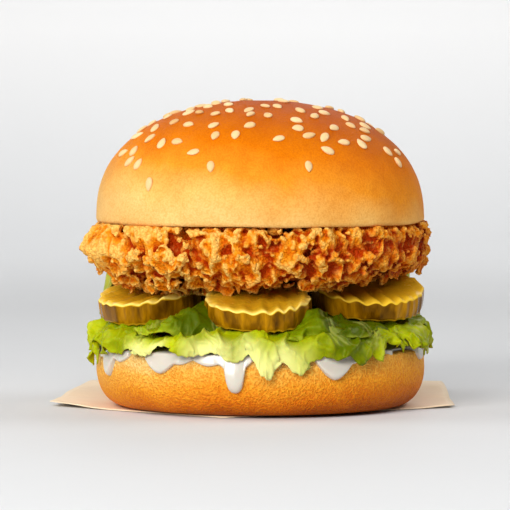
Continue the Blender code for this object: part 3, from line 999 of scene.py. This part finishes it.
def make_fillet():
    rng = np.random.default_rng(5)
    flakes = [crust_flakes(rng, *kind) for kind in FLAKES]
    points, faces = joined(fillet_core(), *flakes, crust_crumbs(rng, CRUMB_COUNT))
    piece = new_object("crust", mesh_from("crust", points, faces))
    fuse = piece.modifiers.new("fuse", "REMESH")
    fuse.mode = "VOXEL"
    fuse.voxel_size = CRUST_VOXEL
    mesh = frozen(piece)
    piece = new_object("crust", mesh)
    thin = piece.modifiers.new("thin", "DECIMATE")
    thin.ratio = min(1.0, CRUST_TRIANGLES / (2 * len(mesh.polygons)))
    mesh = frozen(piece)
    points, normals = points_of(mesh), normals_of(mesh)
    grit = 0.42 * knobs(points, 1.5 * MM, 0.8, 1.0) + 0.22 * knobs(points, 0.9 * MM, 0.8, 4.0) - 0.3
    points += normals * (MM * grit)[:, None]
    points[:, 2] = np.clip(points[:, 2], FILLET_BASE - CRUST_HANG, FILLET_TOP)
    set_points(mesh, points)
    edges, normals = edges_of(mesh), normals_of(mesh)
    fine = ((points - relaxed(points, edges, FINE_ROUNDS)) * normals).sum(axis=1)
    broad = ((points - relaxed(points, edges, BROAD_ROUNDS)) * normals).sum(axis=1)
    # Painted highlight along the crust's finest ridges.
    paint(mesh, "proud", np.clip((fine - 0.03 * MM) / (0.20 * MM), 0, 1))
    # Painted highlight and shade: how far each point stands above or sinks below its broad surroundings.
    paint(mesh, "relief", np.clip(0.5 + broad / (1.9 * MM), 0, 1))
    # Painted shade: how much of its own sky the crust hides at each point.
    paint(mesh, "shelter", shelter(mesh, SHELTER_REACH, SHELTER_RAYS, 2))
    # Darker towards the right is painted shade; the noise patches are random browning.
    patches = 0.16 * noise_at(points, 11 * MM, 6.0)
    right = smooth_step((points[:, 0] + 20 * MM) / (26 * MM))
    far_right = smooth_step((points[:, 0] - 8 * MM) / (34 * MM))
    paint(mesh, "browned", 0.11 * right + 0.26 * far_right + patches)
    return finished("fried_fillet", mesh, fried_crust(), "fried_crust", "chicken_fillet")


# ---------------------------------------------------------------- gherkins


def gherkin():
    """Skin: streaked olive brown. Cut faces: wet, olive in the middle and pale towards the edge; the darker
    middle is partly painted shade from the fillet above.
    """
    material, tree, shader = new_material(
        "gherkin", specular_ior_level=0.30, specular_tint=(1.0, 0.70, 0.18, 1.0)
    )
    streak = use(tree, STREAKS, Scale=240.0, Contrast=1.0)
    blotch = use(tree, MOTTLE, Scale=160.0, Contrast=1.0)
    skin = ramp(
        tree, streak["Mask"],
        (0.0, (0.085, 0.030, 0.0002)),
        (0.45, (0.20, 0.080, 0.0004)),
        (1.0, (0.46, 0.205, 0.0015)),
    )
    ripeness = number(tree, "MULTIPLY_ADD", blotch["Mask"], 0.16, -0.08)
    flesh = ramp(
        tree, plus(tree, attribute(tree, "flesh"), ripeness),
        (0.1, (0.30, 0.145, 0.004)),
        (0.5, (0.62, 0.34, 0.009)),
        (0.8, (0.86, 0.55, 0.035)),
        (1.0, (0.95, 0.72, 0.17)),
    )
    on_face = number(tree, "MINIMUM", times(tree, attribute(tree, "flesh"), 6.0), 1.0)
    shown = blended(tree, on_face, skin, flesh)
    surfaced(tree, shader, shown, blotch["Mask"], 0.16, 0.30)
    bumped(tree, shader, (streak["Mask"], 0.25, 0.0004), (blotch["Mask"], 0.3, 0.0004))
    return material


def slice_outline(turn, rng):
    """Share of the radius round a slice: hollow flutes of uneven width that meet in ridges."""
    warped = turn + 0.10 * np.sin(3 * turn + rng.uniform(0, 6))
    warped = warped + 0.07 * np.sin(5 * turn + rng.uniform(0, 6))
    hollow = np.abs(np.cos(SLICE_FLUTES * warped / 2)) ** 0.8
    oval = 0.015 * np.sin(2 * turn + rng.uniform(0, 6)) + 0.01 * np.sin(3 * turn + rng.uniform(0, 6))
    return 1.0 - SLICE_GROOVE * hollow + oval


def make_slice(node, seed, material):
    """A crinkle-cut slice that slopes down and outwards, and fills its node's height."""
    low, high = (np.array(corner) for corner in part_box(node))
    middle = (low + high) / 2
    radius = (high[2] - low[2] - SLICE_THICK * math.cos(SLICE_TILT)) / (2 * math.sin(SLICE_TILT))
    twist, slope, lift, paleness = SLICE_LIES[node]
    rng = np.random.default_rng(seed)
    turn = np.linspace(0, math.tau, SLICE_STEPS, endpoint=False)
    outline = slice_outline(turn, rng)
    fluting = np.clip((1.0 - outline) / SLICE_GROOVE, -0.5, 1.5)
    half, rounding = SLICE_THICK / 2, SLICE_ROUNDING
    rows, flesh = [], []
    for share in SLICE_RINGS:
        rows.append((share * (1 - rounding / radius), half, share))
    for i in range(1, SLICE_CORNER_RINGS + 1):
        corner = math.pi / 2 * i / SLICE_CORNER_RINGS
        share = 1 - rounding / radius * (1 - math.sin(corner))
        rows.append((share, half - rounding * (1 - math.cos(corner)), 1.0))
    top = list(rows)
    for i in range(1, SLICE_SIDE_RINGS):
        rows.append((1.0, (half - rounding) * (1 - 2 * i / SLICE_SIDE_RINGS), 2.0))
    rows += [(share, -height, inner) for share, height, inner in reversed(top)]
    points = []
    for share, height, inner in rows:
        to_edge = smooth_step((np.float64(share) - 0.55) / 0.45)
        reach = radius * share * (1.0 + (outline - 1.0) * to_edge)
        bulge = 0.25 * MM * (1 - (height / half) ** 2) if inner == 2.0 else 0.0
        x, y = (reach + bulge) * np.cos(turn), (reach + bulge) * np.sin(turn)
        on_face = np.sign(height) * (inner < 2.0)
        drift = 1.5 * np.sin(y / (4.1 * MM) + seed) + 0.6 * np.sin(x / (5 * MM))
        crinkle = CRINKLE_DEEP * np.sin(math.tau * y / CRINKLE_PITCH + drift)
        crinkle = crinkle * (0.8 + 0.4 * np.sin(y / (6 * MM) + 2 * seed))
        crinkle = crinkle * (0.1 + 0.45 * (1 + height / half))
        rim = smooth_step((np.float64(share) - 0.9) / 0.1)
        sunk = 0.35 * MM * (1 - to_edge) + 0.25 * MM * fluting * rim
        points.append(np.stack([x, y, height + crinkle - on_face * sunk], axis=-1))
        # The face darkens towards its middle, partly for the olive flesh and partly as painted shade under
        # the fillet; paleness is lower on slices lying in shade.
        tone = paleness * (0.42 + 0.58 * share ** 4) if height > 0 else 0.3
        flesh.append(np.full(SLICE_STEPS, (inner < 2.0) * tone))
    points, flesh = np.concatenate(points), np.concatenate(flesh)
    points[:, 2] += SLICE_WARP * noise_at(points, 14 * MM, seed)
    bearing = math.atan2(middle[1], middle[0])
    turned_out = Matrix.Rotation(bearing + math.radians(twist), 3, "Z")
    place = turned_out @ Matrix.Rotation(math.radians(slope), 3, "Y")
    points = points @ np.array(place).T + middle + np.array([0.0, 0.0, lift])
    faces = [face[::-1] for face in sheet_faces(len(rows), SLICE_STEPS, True)]
    mesh = mesh_from(node, points, faces)
    paint(mesh, "flesh", flesh)
    faced_outwards(mesh, True)
    return finished(node.replace("pickle", "gherkin_slice"), mesh, material, "gherkin", node)


def make_gherkins():
    material = gherkin()
    for seed, node in enumerate(SLICE_LIES, 40):
        make_slice(node, seed, material)


# ---------------------------------------------------------------- lettuce


def lettuce(name, deep, fresh, pale):
    """Leaf: deep green where its 'thick' value is high, fresh green elsewhere, whiter towards its heart and
    ribs. That value holds painted shade at the front beside the gherkins, and darker patches and stretches
    elsewhere.
    """
    material, tree, shader = new_material(
        name, specular_ior_level=0.20, specular_tint=(0.9, 1.0, 0.25, 1.0),
        subsurface_weight=0.15, subsurface_scale=0.002
    )
    blotch = use(tree, MOTTLE, Scale=110.0, Contrast=0.8)
    paleness = number(tree, "MULTIPLY_ADD", blotch["Mask"], 0.7, 0.3)
    tone = number(tree, "SUBTRACT", paleness, attribute(tree, "thick"))
    blade = ramp(tree, tone, (0.0, deep), (1.0, fresh))
    heart = times(tree, attribute(tree, "heart"), 0.9)
    whitened = blended(tree, heart, blade, pale)
    rib = times(tree, attribute(tree, "rib"), 0.2)
    shown = blended(tree, rib, whitened, (0.80, 0.80, 0.24))
    surfaced(tree, shader, shown, blotch["Mask"], 0.30, 0.45)
    puckers = use(tree, PORES, Grain=260.0, Depth=1.0)
    bumped(tree, shader, (attribute(tree, "rib"), 0.3, 0.0006), (puckers["Height"], 0.35, 0.0007))
    return material


def bezier(share, *points):
    """A point on a curve through (radius, height) handles; share is a column, handles may be arrays."""
    p0, p1, p2, p3 = points
    rest = 1.0 - share
    return rest ** 3 * p0 + 3 * rest ** 2 * share * p1 + 3 * rest * share ** 2 * p2 + share ** 3 * p3


def rib_lines(bearing, share, width):
    """Ribs run out from the heart and fork on the way; 1 on a rib, 0 off it."""
    total = 0.0 * bearing * share
    for centre, sway, length in RIBS:
        for fork in (-1.0, 0.0, 1.0):
            line = centre + fork * 6.0 * np.clip(share - 0.35, 0, 1) + sway * share ** 2
            thin = width * (1.15 - share) * (0.6 if fork else 1.0)
            rib = np.exp(-(degrees_apart(bearing, line) / thin) ** 2) * (share < length)
            total = np.maximum(total, rib * (0.7 if fork else 1.0))
    return total


def crumpled(points, faces, size, deep, seed):
    """The points of a sheet pushed into creases: sharp ridges above, round hollows between them."""
    sheet = mesh_from("sheet", points, faces)
    normals = normals_of(sheet)
    bpy.data.meshes.remove(sheet)
    flow = swirled(points, 2.2 * size, 0.7 * size, seed)
    creases = np.clip(1.0 - 2.6 * np.abs(noise_at(flow, size, seed)), -0.4, 1.0) ** 3
    fine = np.clip(1.0 - 2.6 * np.abs(noise_at(flow, size / 2.1, seed + 7)), -0.4, 1.0) ** 3
    broad = noise_at(points, 1.6 * size, seed + 3)
    return points - normals * (deep * (1.1 * creases + 0.35 * fine + 0.9 * broad - 0.4))[:, None]


def make_leaf(which, seed, steps, path, ruffles, material, heart, thick):
    """A ruffled leaf laid round the burger. path(bearing) gives four (radius, height) handles."""
    name = "lettuce_" + which + "_leaf"
    rng = np.random.default_rng(seed)
    bearing = np.linspace(0, math.tau, steps, endpoint=False)[None, :]
    share = np.linspace(0, 1, LEAF_ROWS)[:, None]
    phases = rng.uniform(0, math.tau, 8)
    slow = wave(bearing, (2, 3, 5), phases[:3], (1.0, 0.8, 0.6))
    drift = 0.55 * np.sin(4 * bearing + phases[3]) + 0.35 * np.sin(7 * bearing + phases[4])
    curly = 0.25 + 0.85 * sum(near(bearing, centre, 20.0) for centre in CURLIEST)
    handles = path(bearing)
    radius = bezier(share, *(handle[0] for handle in handles))
    height = bezier(share, *(handle[1] for handle in handles))
    for count, out, up, start, skew in ruffles:
        grow = smooth_step((share - start) / (1.0 - start)) ** 1.2 * (curly if count > 40 else 1.0)
        swing = np.sin(count * bearing + drift * count / 9 + skew * share + phases[5] * count)
        lift = np.sin(count * bearing + drift * count / 9 + skew * share + phases[6] * count + 1.3)
        radius = radius + out * MM * grow * swing * (1.0 + 0.45 * slow)
        height = height + up * MM * grow * lift * (1.0 - 0.35 * slow)
    faces = sheet_faces(LEAF_ROWS, steps, True)
    smooth = polar(radius, bearing, height).reshape(-1, 3)
    flat = crumpled(smooth, faces, CREASE_SIZE, CREASE_DEEP, seed)
    clearance = np.hypot(flat[:, 0], flat[:, 1])
    below = smooth_step((HEEL_TOP + 4.0 * MM - flat[:, 2]) / (2 * MM))
    outward = np.maximum(1.0, (BUN_RADIUS + LEAF_CLEAR) / np.maximum(clearance, MM)) - 1.0
    flat[:, :2] *= (1.0 + below * outward * (clearance > 40 * MM))[:, None]
    piece = thickened(name, mesh_from(name, flat, faces), LEAF_THICK)
    around, along = bearing + 0 * share, share + 0 * bearing
    paint(piece.data, "rib", rib_lines(around, along, 1.8).ravel())
    paint(piece.data, "heart", np.clip(heart(around, along), 0, 1).ravel())
    # The 'thick' value darkens the leaf: painted shade beside the gherkins, and darker patches and
    # stretches.
    paint(piece.data, "thick", np.clip(thick(around, along), 0, 1).ravel())
    return finished(name, frozen(piece), material, "lettuce", "lettuce_" + which)


# Pieces of leaf that stand up between gherkins, as (name, bearing, half width in degrees, radius).
LEAF_SCRAPS = (
    ("left", 169.0, 12.0, 50.0 * MM),
    ("right", 13.0, 11.0, 48.6 * MM),
    ("back", 86.0, 13.0, 47.0 * MM),
)
SCRAP_LOW = 29.5 * MM
SCRAP_HIGH = 43.0 * MM
SCRAP_ROWS, SCRAP_STEPS = 30, 44
SCRAP_THICK = 0.45 * MM


def leaf_scrap(name, bearing, half_width, radius, seed, material):
    """A wavy piece of leaf that follows the burger's round, and leans in at its top."""
    across, up = np.meshgrid(np.linspace(-1, 1, SCRAP_STEPS), np.linspace(-1, 1, SCRAP_ROWS))
    narrowing = 1.0 - 0.35 * smooth_step((up - 0.1) / 0.9)
    turn = np.radians(bearing + half_width * narrowing * across)
    frill = 0.10 * np.sin(11 * across + seed) + 0.06 * np.sin(23 * across + 2 * seed)
    middle, half_tall = (SCRAP_LOW + SCRAP_HIGH) / 2, (SCRAP_HIGH - SCRAP_LOW) / 2
    height = middle + half_tall * up * (1.0 - 0.18 * across ** 2 + frill)
    wave_out = 1.5 * np.sin(4.2 * across + seed + 0.8 * up) + 0.6 * np.sin(9.0 * across + 3.0 * up)
    reach = radius + MM * wave_out * (0.6 + 0.4 * up) - 1.6 * MM * up
    flat = polar(reach, turn, height).reshape(-1, 3)
    name = "lettuce_scrap_" + name
    mesh = mesh_from(name, flat, sheet_faces(SCRAP_ROWS, SCRAP_STEPS, False))
    piece = thickened(name, mesh, SCRAP_THICK)
    paint(piece.data, "rib", 0.0 * across.ravel())
    paint(piece.data, "heart", 0.15 + 0.1 * up.ravel())
    paint(piece.data, "thick", 0.25 - 0.15 * up.ravel())
    return finished(name, frozen(piece), material, "lettuce")


# Ribs as (bearing, sway in degrees, share of the leaf that the rib runs along).
RIBS = (
    (15, 14, 0.9), (52, -12, 1.0), (88, 10, 0.85), (131, -15, 0.9), (170, 9, 1.0),
    (219, 9, 1.0), (246, 14, 0.9), (269, -13, 1.0), (291, 12, 0.85), (318, -10, 1.0), (345, 12, 0.9),
)

# Hanging tips of the lower leaf, as (bearing, half width in degrees, lowest height in mm).
LOWER_TIPS = (
    (185, 9, 13.6), (195, 5, 15.4), (204, 6, 17.3), (213, 5, 19.3), (226, 10, 20.2), (238, 9, 21.2),
    (247, 8, 20.0), (263, 8, 18.6), (272, 9, 12.9), (282, 9, 15.4), (289, 7, 17.8), (295, 8, 16.8),
    (304, 8, 16.8), (313, 5, 17.2), (336, 6, 19.6), (345, 6, 20.4), (356, 8, 18.4), (10, 11, 17.0),
    (28, 7, 19.0), (40, 9, 15.5), (60, 8, 18.0), (81, 11, 14.0), (100, 7, 18.0), (117, 9, 16.5),
    (138, 8, 18.0), (157, 10, 15.0), (172, 6, 18.6),
)

# Where the upper leaf comes out from under the gherkins, as (reach in mm, bearing, half width), and
# where it rises between them, as (height, bearing, half width).
UPPER_FOLDS = ((4.2, 229, 22), (3.2, 303, 17), (3.0, 5, 16), (3.4, 48, 16), (4.0, 100, 24), (3.2, 162, 16))
UPPER_RISES = (
    (6.0 * MM, 243, 17), (6.5 * MM, 292, 14), (5.0 * MM, 12, 14), (5.0 * MM, 86, 20), (5.0 * MM, 158, 18),
)

# Where the lower leaf's edge is white, as (bearing, half width).
PALE_STRETCHES = ((273.0, 18.0), (228.0, 12.0), (253.0, 12.0), (80.0, 20.0), (140.0, 16.0))

# Ruffles of each leaf, as (count, outward and upward size in mm, share of the leaf where they begin, skew).
LOWER_RUFFLES = (
    (11, 0.9, 1.0, 0.15, 1.0), (23, 0.9, 0.9, 0.3, 2.0), (53, 1.0, 1.1, 0.5, -3.0),
    (97, 0.8, 0.9, 0.7, 4.0), (173, 0.40, 0.5, 0.82, 2.0),
)
UPPER_RUFFLES = (
    (9, 0.5, 0.9, 0.2, 1.5), (23, 0.6, 0.7, 0.4, 3.0), (61, 0.5, 0.5, 0.7, -4.0), (131, 0.3, 0.3, 0.85, 2.0),
)
LEAF_ROWS = 44
LEAF_THICK = 0.36 * MM
LEAF_CLEAR = 1.3 * MM
CREASE_SIZE = 9 * MM
CREASE_DEEP = 1.6 * MM
CURLIEST = (200, 331, 60, 128)


def lower_edge(bearing):
    """Height of the lower leaf's hanging edge."""
    rest = HEEL_TOP + 1.5 * MM + 2.6 * MM * near(bearing, 322.0, 10.0)
    edge = rest + 0 * bearing
    for centre, half_width, lowest in LOWER_TIPS:
        edge = np.minimum(edge, rest - (rest - lowest * MM) * near(bearing, centre, half_width))
    return edge


def lower_path(bearing):
    """Out over the sauce, up under the gherkins, then down over the heel's edge."""
    crest = HEEL_TOP + 9.2 * MM + 1.2 * MM * wave(bearing, (5, 8, 11), (0.5, 3.0, 1.2), (1.0, 0.9, 0.8))
    crest = crest - 3.4 * MM * near(bearing, 226.0, 26.0) - 2.6 * MM * near(bearing, 306.0, 16.0)
    out = 55.2 * MM + 0.9 * MM * wave(bearing, (6, 9, 13), (2.5, 1.0, 5.2), (1.0, 0.9, 0.7))
    return (
        (30 * MM + 0 * bearing, HEEL_TOP + 4.5 * MM + 0 * bearing),
        (47 * MM + 0 * bearing, crest + 0.6 * MM),
        (out, crest),
        (54.3 * MM + 0 * bearing, lower_edge(bearing)),
    )


def upper_path(bearing):
    """Under the gherkins, rising in the gaps between them; its edge comes out only in a few folds."""
    rise = rises(bearing, *UPPER_RISES)
    out = rises(bearing, *UPPER_FOLDS)
    edge = HEEL_TOP + 5.4 * MM + 1.0 * MM * wave(bearing, (3, 5, 8), (1.9, 0.2, 2.2), (1.0, 0.8, 0.7))
    return (
        (5 * MM + 0 * bearing, HEEL_TOP + 17.0 * MM + 0 * bearing),
        (36 * MM + 0 * bearing, HEEL_TOP + 10.0 * MM + rise),
        (49.5 * MM + 0.8 * MM * out, HEEL_TOP + 9.0 * MM + rise),
        (50.0 * MM + MM * out, edge + 0.15 * rise),
    )


def pale_edges(bearing, share):
    """The lower leaf is whitest at its root and along a few stretches of its edge."""
    stretch = 0.0
    for centre, half_width in PALE_STRETCHES:
        apart = degrees_apart(bearing, centre)
        stretch = np.maximum(stretch, 0.95 * smooth_step(1.3 - 1.3 * apart / half_width))
    return 0.5 * smooth_step(1.0 - share / 0.5) + stretch * smooth_step((share - 0.6) / 0.36)


def lower_green(bearing, share):
    """Deepest at the front right, which is painted shade, and at the back left, and patchy elsewhere."""
    side = np.maximum(near(bearing, 297.0, 20.0), 0.25 * near(bearing, 322.0, 40.0))
    side = np.maximum(side, near(bearing, 118.0, 34.0))
    patches = 0.4 * smooth_step(0.5 + wave(bearing, (7, 12, 19), (1.4, 0.4, 3.0), (1.0, 0.9, 0.8)))
    return 0.85 * side * (1.1 - 0.6 * share) + patches * (1.0 - 0.6 * share)


def pale_root(bearing, share):
    """The upper leaf is palest at its root and at its very edge."""
    return 0.4 * smooth_step(1.0 - share / 0.4) + 0.2 * smooth_step((share - 0.9) / 0.1)


def upper_green(bearing, share):
    """Darkest at the front, on either side of the front gherkin, which is painted shade, and paler along its
    edge.
    """
    dark = np.maximum(near(bearing, 250.0, 22.0), near(bearing, 306.0, 30.0))
    patches = 0.2 * wave(bearing, (5, 9, 14), (2.0, 1.0, 4.0), (1, 1, 1))
    return 0.2 + 0.8 * dark - 0.15 * smooth_step((share - 0.6) / 0.4) + patches


def make_lettuce():
    fresh = lettuce("fresh_leaf", (0.10, 0.14, 0.0002), (0.58, 0.63, 0.003), (0.86, 0.83, 0.30))
    deep = lettuce("deep_leaf", (0.06, 0.09, 0.0002), (0.38, 0.48, 0.001), (0.60, 0.62, 0.05))
    make_leaf("lower", 21, 1100, lower_path, LOWER_RUFFLES, fresh, pale_edges, lower_green)
    make_leaf("upper", 34, 900, upper_path, UPPER_RUFFLES, deep, pale_root, upper_green)
    for seed, scrap in enumerate(LEAF_SCRAPS, 1):
        leaf_scrap(*scrap, seed, fresh)


# ---------------------------------------------------------------- sauce


def white_sauce():
    """Thick, glossy and slightly creamy."""
    material, tree, shader = new_material(
        "creamy_sauce", roughness=0.24, coat_weight=0.4, coat_roughness=0.1,
        subsurface_weight=0.2, subsurface_scale=0.002
    )
    blotch = use(tree, MOTTLE, Scale=90.0, Contrast=0.8)
    cream = ramp(tree, blotch["Mask"], (0.0, (0.58, 0.535, 0.455)), (1.0, (0.65, 0.605, 0.53)))
    surfaced(tree, shader, cream, blotch["Mask"], 0.18, 0.32)
    bumped(tree, shader, (blotch["Mask"], 0.2, 0.0006))
    return material


def drip_reach(bearing):
    """(length, fullness) of the sauce below the heel's edge at each bearing."""
    length, full = -1.2 * MM + 0 * bearing, 0 * bearing
    for centre, half_width, reach_mm in DRIPS:
        reach = reach_mm * MM
        apart = np.clip(degrees_apart(bearing, centre) / half_width, 0, 1)
        round_end = min(reach, math.radians(half_width) * BUN_RADIUS * 1.15)
        tongue = (reach - round_end) * (1.0 - apart ** 4) + round_end * np.sqrt(1.0 - apart ** 2)
        if half_width > NARROW_DRIP:
            tongue = reach * (1.0 - apart ** 1.8) ** 1.6
        tongue = tongue - 2.8 * MM * apart ** 6
        length = np.logaddexp(length / MM * 2.0, tongue / MM * 2.0) * MM / 2.0
        full = np.maximum(full, np.sqrt(1.0 - apart ** 2) * min(1.0, reach / (7 * MM)))
    return length, full


def make_sauce():
    bearing = np.linspace(0, math.tau, SAUCE_STEPS, endpoint=False)[None, :]
    length, full = drip_reach(bearing)
    inner = np.linspace(0.5, 1.0, SAUCE_TOP_ROWS)[:, None]
    down = np.linspace(0, 1, SAUCE_ROWS)[1:, None]
    drawn_back = SAUCE_DRAWN_BACK * (1.0 - smooth_step((length - 0.3 * MM) / (1.1 * MM)))
    top_radius = (HEEL_TOP_RADIUS - drawn_back) * inner * bun_share(bearing)
    thin = SAUCE_THICK - 0.5 * MM * smooth_step((inner - 0.9) / 0.1)
    top = polar(top_radius, bearing, HEEL_TOP + thin)
    drop = length * down
    radius, height = heel_side(drop)
    radius = radius - drawn_back
    roll = np.sqrt(np.clip(1.0 - down ** 5, 0, 1)) * (0.75 + 0.9 * full * down ** 1.5) * MM
    thick = 0.12 * MM + roll * (0.85 + 0.75 * full)
    side = polar((radius + thick) * bun_share(bearing), bearing, height + 0.9 * MM * (1 - down) ** 3)
    back_radius, back_height = heel_side(length * np.array([[1.0], [0.5], [0.0]]))
    back = polar((back_radius - drawn_back - 0.4 * MM) * bun_share(bearing), bearing, back_height)
    rows = np.concatenate([top, side, back])
    mesh = mesh_from("sauce", rows.reshape(-1, 3), sheet_faces(len(rows), SAUCE_STEPS, True))
    faced_outwards(mesh, False)
    return finished("sauce", mesh, white_sauce(), "white_sauce", "white_sauce")


# ---------------------------------------------------------------- paper


def burger_paper():
    """Thin, matt cream wrapping paper, with soft fibres and broad creases."""
    material, tree, shader = new_material("burger_wrap", roughness=0.62)
    fibre = use(tree, MOTTLE, Scale=240.0, Contrast=0.8)
    crease = use(tree, MOTTLE, Scale=34.0, Contrast=1.0)
    sheet = ramp(tree, fibre["Mask"], (0.0, (0.84, 0.63, 0.41)), (1.0, (0.93, 0.74, 0.51)))
    aged = blended(tree, times(tree, crease["Mask"], 0.3), sheet, (0.95, 0.82, 0.63))
    surfaced(tree, shader, aged, fibre["Mask"], 0.55, 0.7)
    bumped(tree, shader, (crease["Mask"], 0.25, 0.001), (fibre["Mask"], 0.2, 0.0002))
    return material


def make_paper():
    """The CAD sheet, cut finer, thinned to paper and softly creased."""
    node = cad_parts["burger_paper"]
    form = bmesh.new()
    form.from_mesh(node.data)
    bmesh.ops.remove_doubles(form, verts=form.verts, dist=MERGE)
    top = [face for face in form.faces if face.normal.z > 0.7]
    bmesh.ops.delete(form, geom=[face for face in form.faces if face not in set(top)], context="FACES")
    bmesh.ops.subdivide_edges(form, edges=form.edges[:], cuts=3, use_grid_fill=True)
    bmesh.ops.triangulate(form, faces=form.faces[:])
    mesh = bpy.data.meshes.new("paper")
    form.to_mesh(mesh)
    form.free()
    points = points_of(mesh)
    outside = smooth_step((np.hypot(points[:, 0], points[:, 1]) - 50 * MM) / (10 * MM))
    points[:, 2] += outside * PAPER_LIFT * (1.0 + noise_at(points, PAPER_CREASE_SIZE, 2.0)) - 0.05 * MM
    set_points(mesh, points)
    piece = thickened("paper", mesh, PAPER_THICK, -1.0)
    return finished("paper_sheet", frozen(piece), burger_paper(), "paper", "burger_paper")


# ---------------------------------------------------------------- stage


def table_top():
    """Pale grey where the burger stands, and nearly white up the wall, a whitening that is painted light."""
    material, tree, shader = new_material("pale_table", roughness=0.7)
    blotch = use(tree, MOTTLE, Scale=9.0, Contrast=0.4)
    plain = ramp(tree, blotch["Mask"], (0.0, (0.645, 0.655, 0.665)), (1.0, (0.675, 0.685, 0.695)))
    # Painted light: the colour grows whiter with height up the wall.
    rise = use(tree, RISE, Low=-0.012, High=0.125, Waver=0.0)
    surfaced(tree, shader, blended(tree, rise["Share"], plain, (0.84, 0.84, 0.84)))
    bumped(tree, shader, (use(tree, MOTTLE, Scale=160.0, Contrast=0.6)["Mask"], 0.05, 0.0006))
    return material


# Square lights, as (name, place, size, power, colour, aim).
WHITE = (1.0, 1.0, 1.0)
BURGER_MIDDLE = (0.0, 0.0, 0.05)
LIGHTS = (
    ("key", (-0.70, -1.25, 0.62), 0.60, 17.0, (1.0, 0.98, 0.95), BURGER_MIDDLE),
    ("front", (-0.05, -1.00, 0.85), 0.70, 6.5, WHITE, BURGER_MIDDLE),
    ("left", (-0.95, 0.05, 0.85), 0.60, 4.5, WHITE, BURGER_MIDDLE),
    ("right", (0.85, 0.10, 0.85), 0.60, 4.3, WHITE, BURGER_MIDDLE),
    ("wall", (0.0, 0.95, 0.85), 0.80, 4.6, WHITE, (0.0, 1.75, 0.40)),
    ("behind", (0.35, 1.10, 1.00), 0.60, 2.0, WHITE, BURGER_MIDDLE),
)
WORLD_LIGHT = 0.15


def point_at(piece, place, aim):
    """Puts a light or the camera at a place and turns it towards its aim."""
    piece.location = place
    piece.rotation_euler = (Vector(aim) - Vector(place)).to_track_quat("-Z", "Y").to_euler()


def soft_light(name, place, size, power, tint, aim):
    light = bpy.data.lights.new(name, "AREA")
    light.shape = "SQUARE"
    light.size, light.energy, light.color = size, power, tint
    point_at(new_object(name, light), place, aim)


def make_stage():
    """A pale table that sweeps up into the wall behind it."""
    outline = [(TABLE_FRONT, 0.0)]
    for i in range(SWEEP_STEPS + 1):
        turn = math.pi / 2 * i / SWEEP_STEPS
        outline.append((TABLE_BACK + SWEEP * math.sin(turn), SWEEP * (1 - math.cos(turn))))
    outline.append((TABLE_BACK + SWEEP, WALL_TOP))
    points = [(x, y, z) for y, z in outline for x in (-TABLE_REACH, TABLE_REACH)]
    mesh = mesh_from("table", points, sheet_faces(len(outline), 2, False))
    mesh.shade_smooth()
    mesh.materials.append(table_top())
    table = new_object("table", mesh)
    table.location.z = CAD_BOX[0][2] - 0.1 * MM
    for light in LIGHTS:
        soft_light(*light)
    world = bpy.data.worlds.new("studio")
    world.use_nodes = True
    sky = world.node_tree.nodes["Background"]
    sky.inputs["Color"].default_value = (*WHITE, 1.0)
    sky.inputs["Strength"].default_value = WORLD_LIGHT
    bpy.context.scene.world = world
    bpy.context.scene.view_settings.view_transform = "Standard"


def make_camera():
    camera = bpy.data.cameras.new("camera")
    camera.sensor_width = SENSOR_WIDTH
    camera.lens = SENSOR_WIDTH * (CAMERA_AIM - CAMERA_PLACE).length / VIEW_WIDTH
    camera.clip_start = 0.05
    view = new_object("camera", camera)
    point_at(view, CAMERA_PLACE, CAMERA_AIM)
    bpy.context.scene.camera = view


crown = make_crown()
make_seeds(crown)
make_heel()
make_fillet()
make_gherkins()
make_lettuce()
make_sauce()
make_paper()
make_stage()
make_camera()
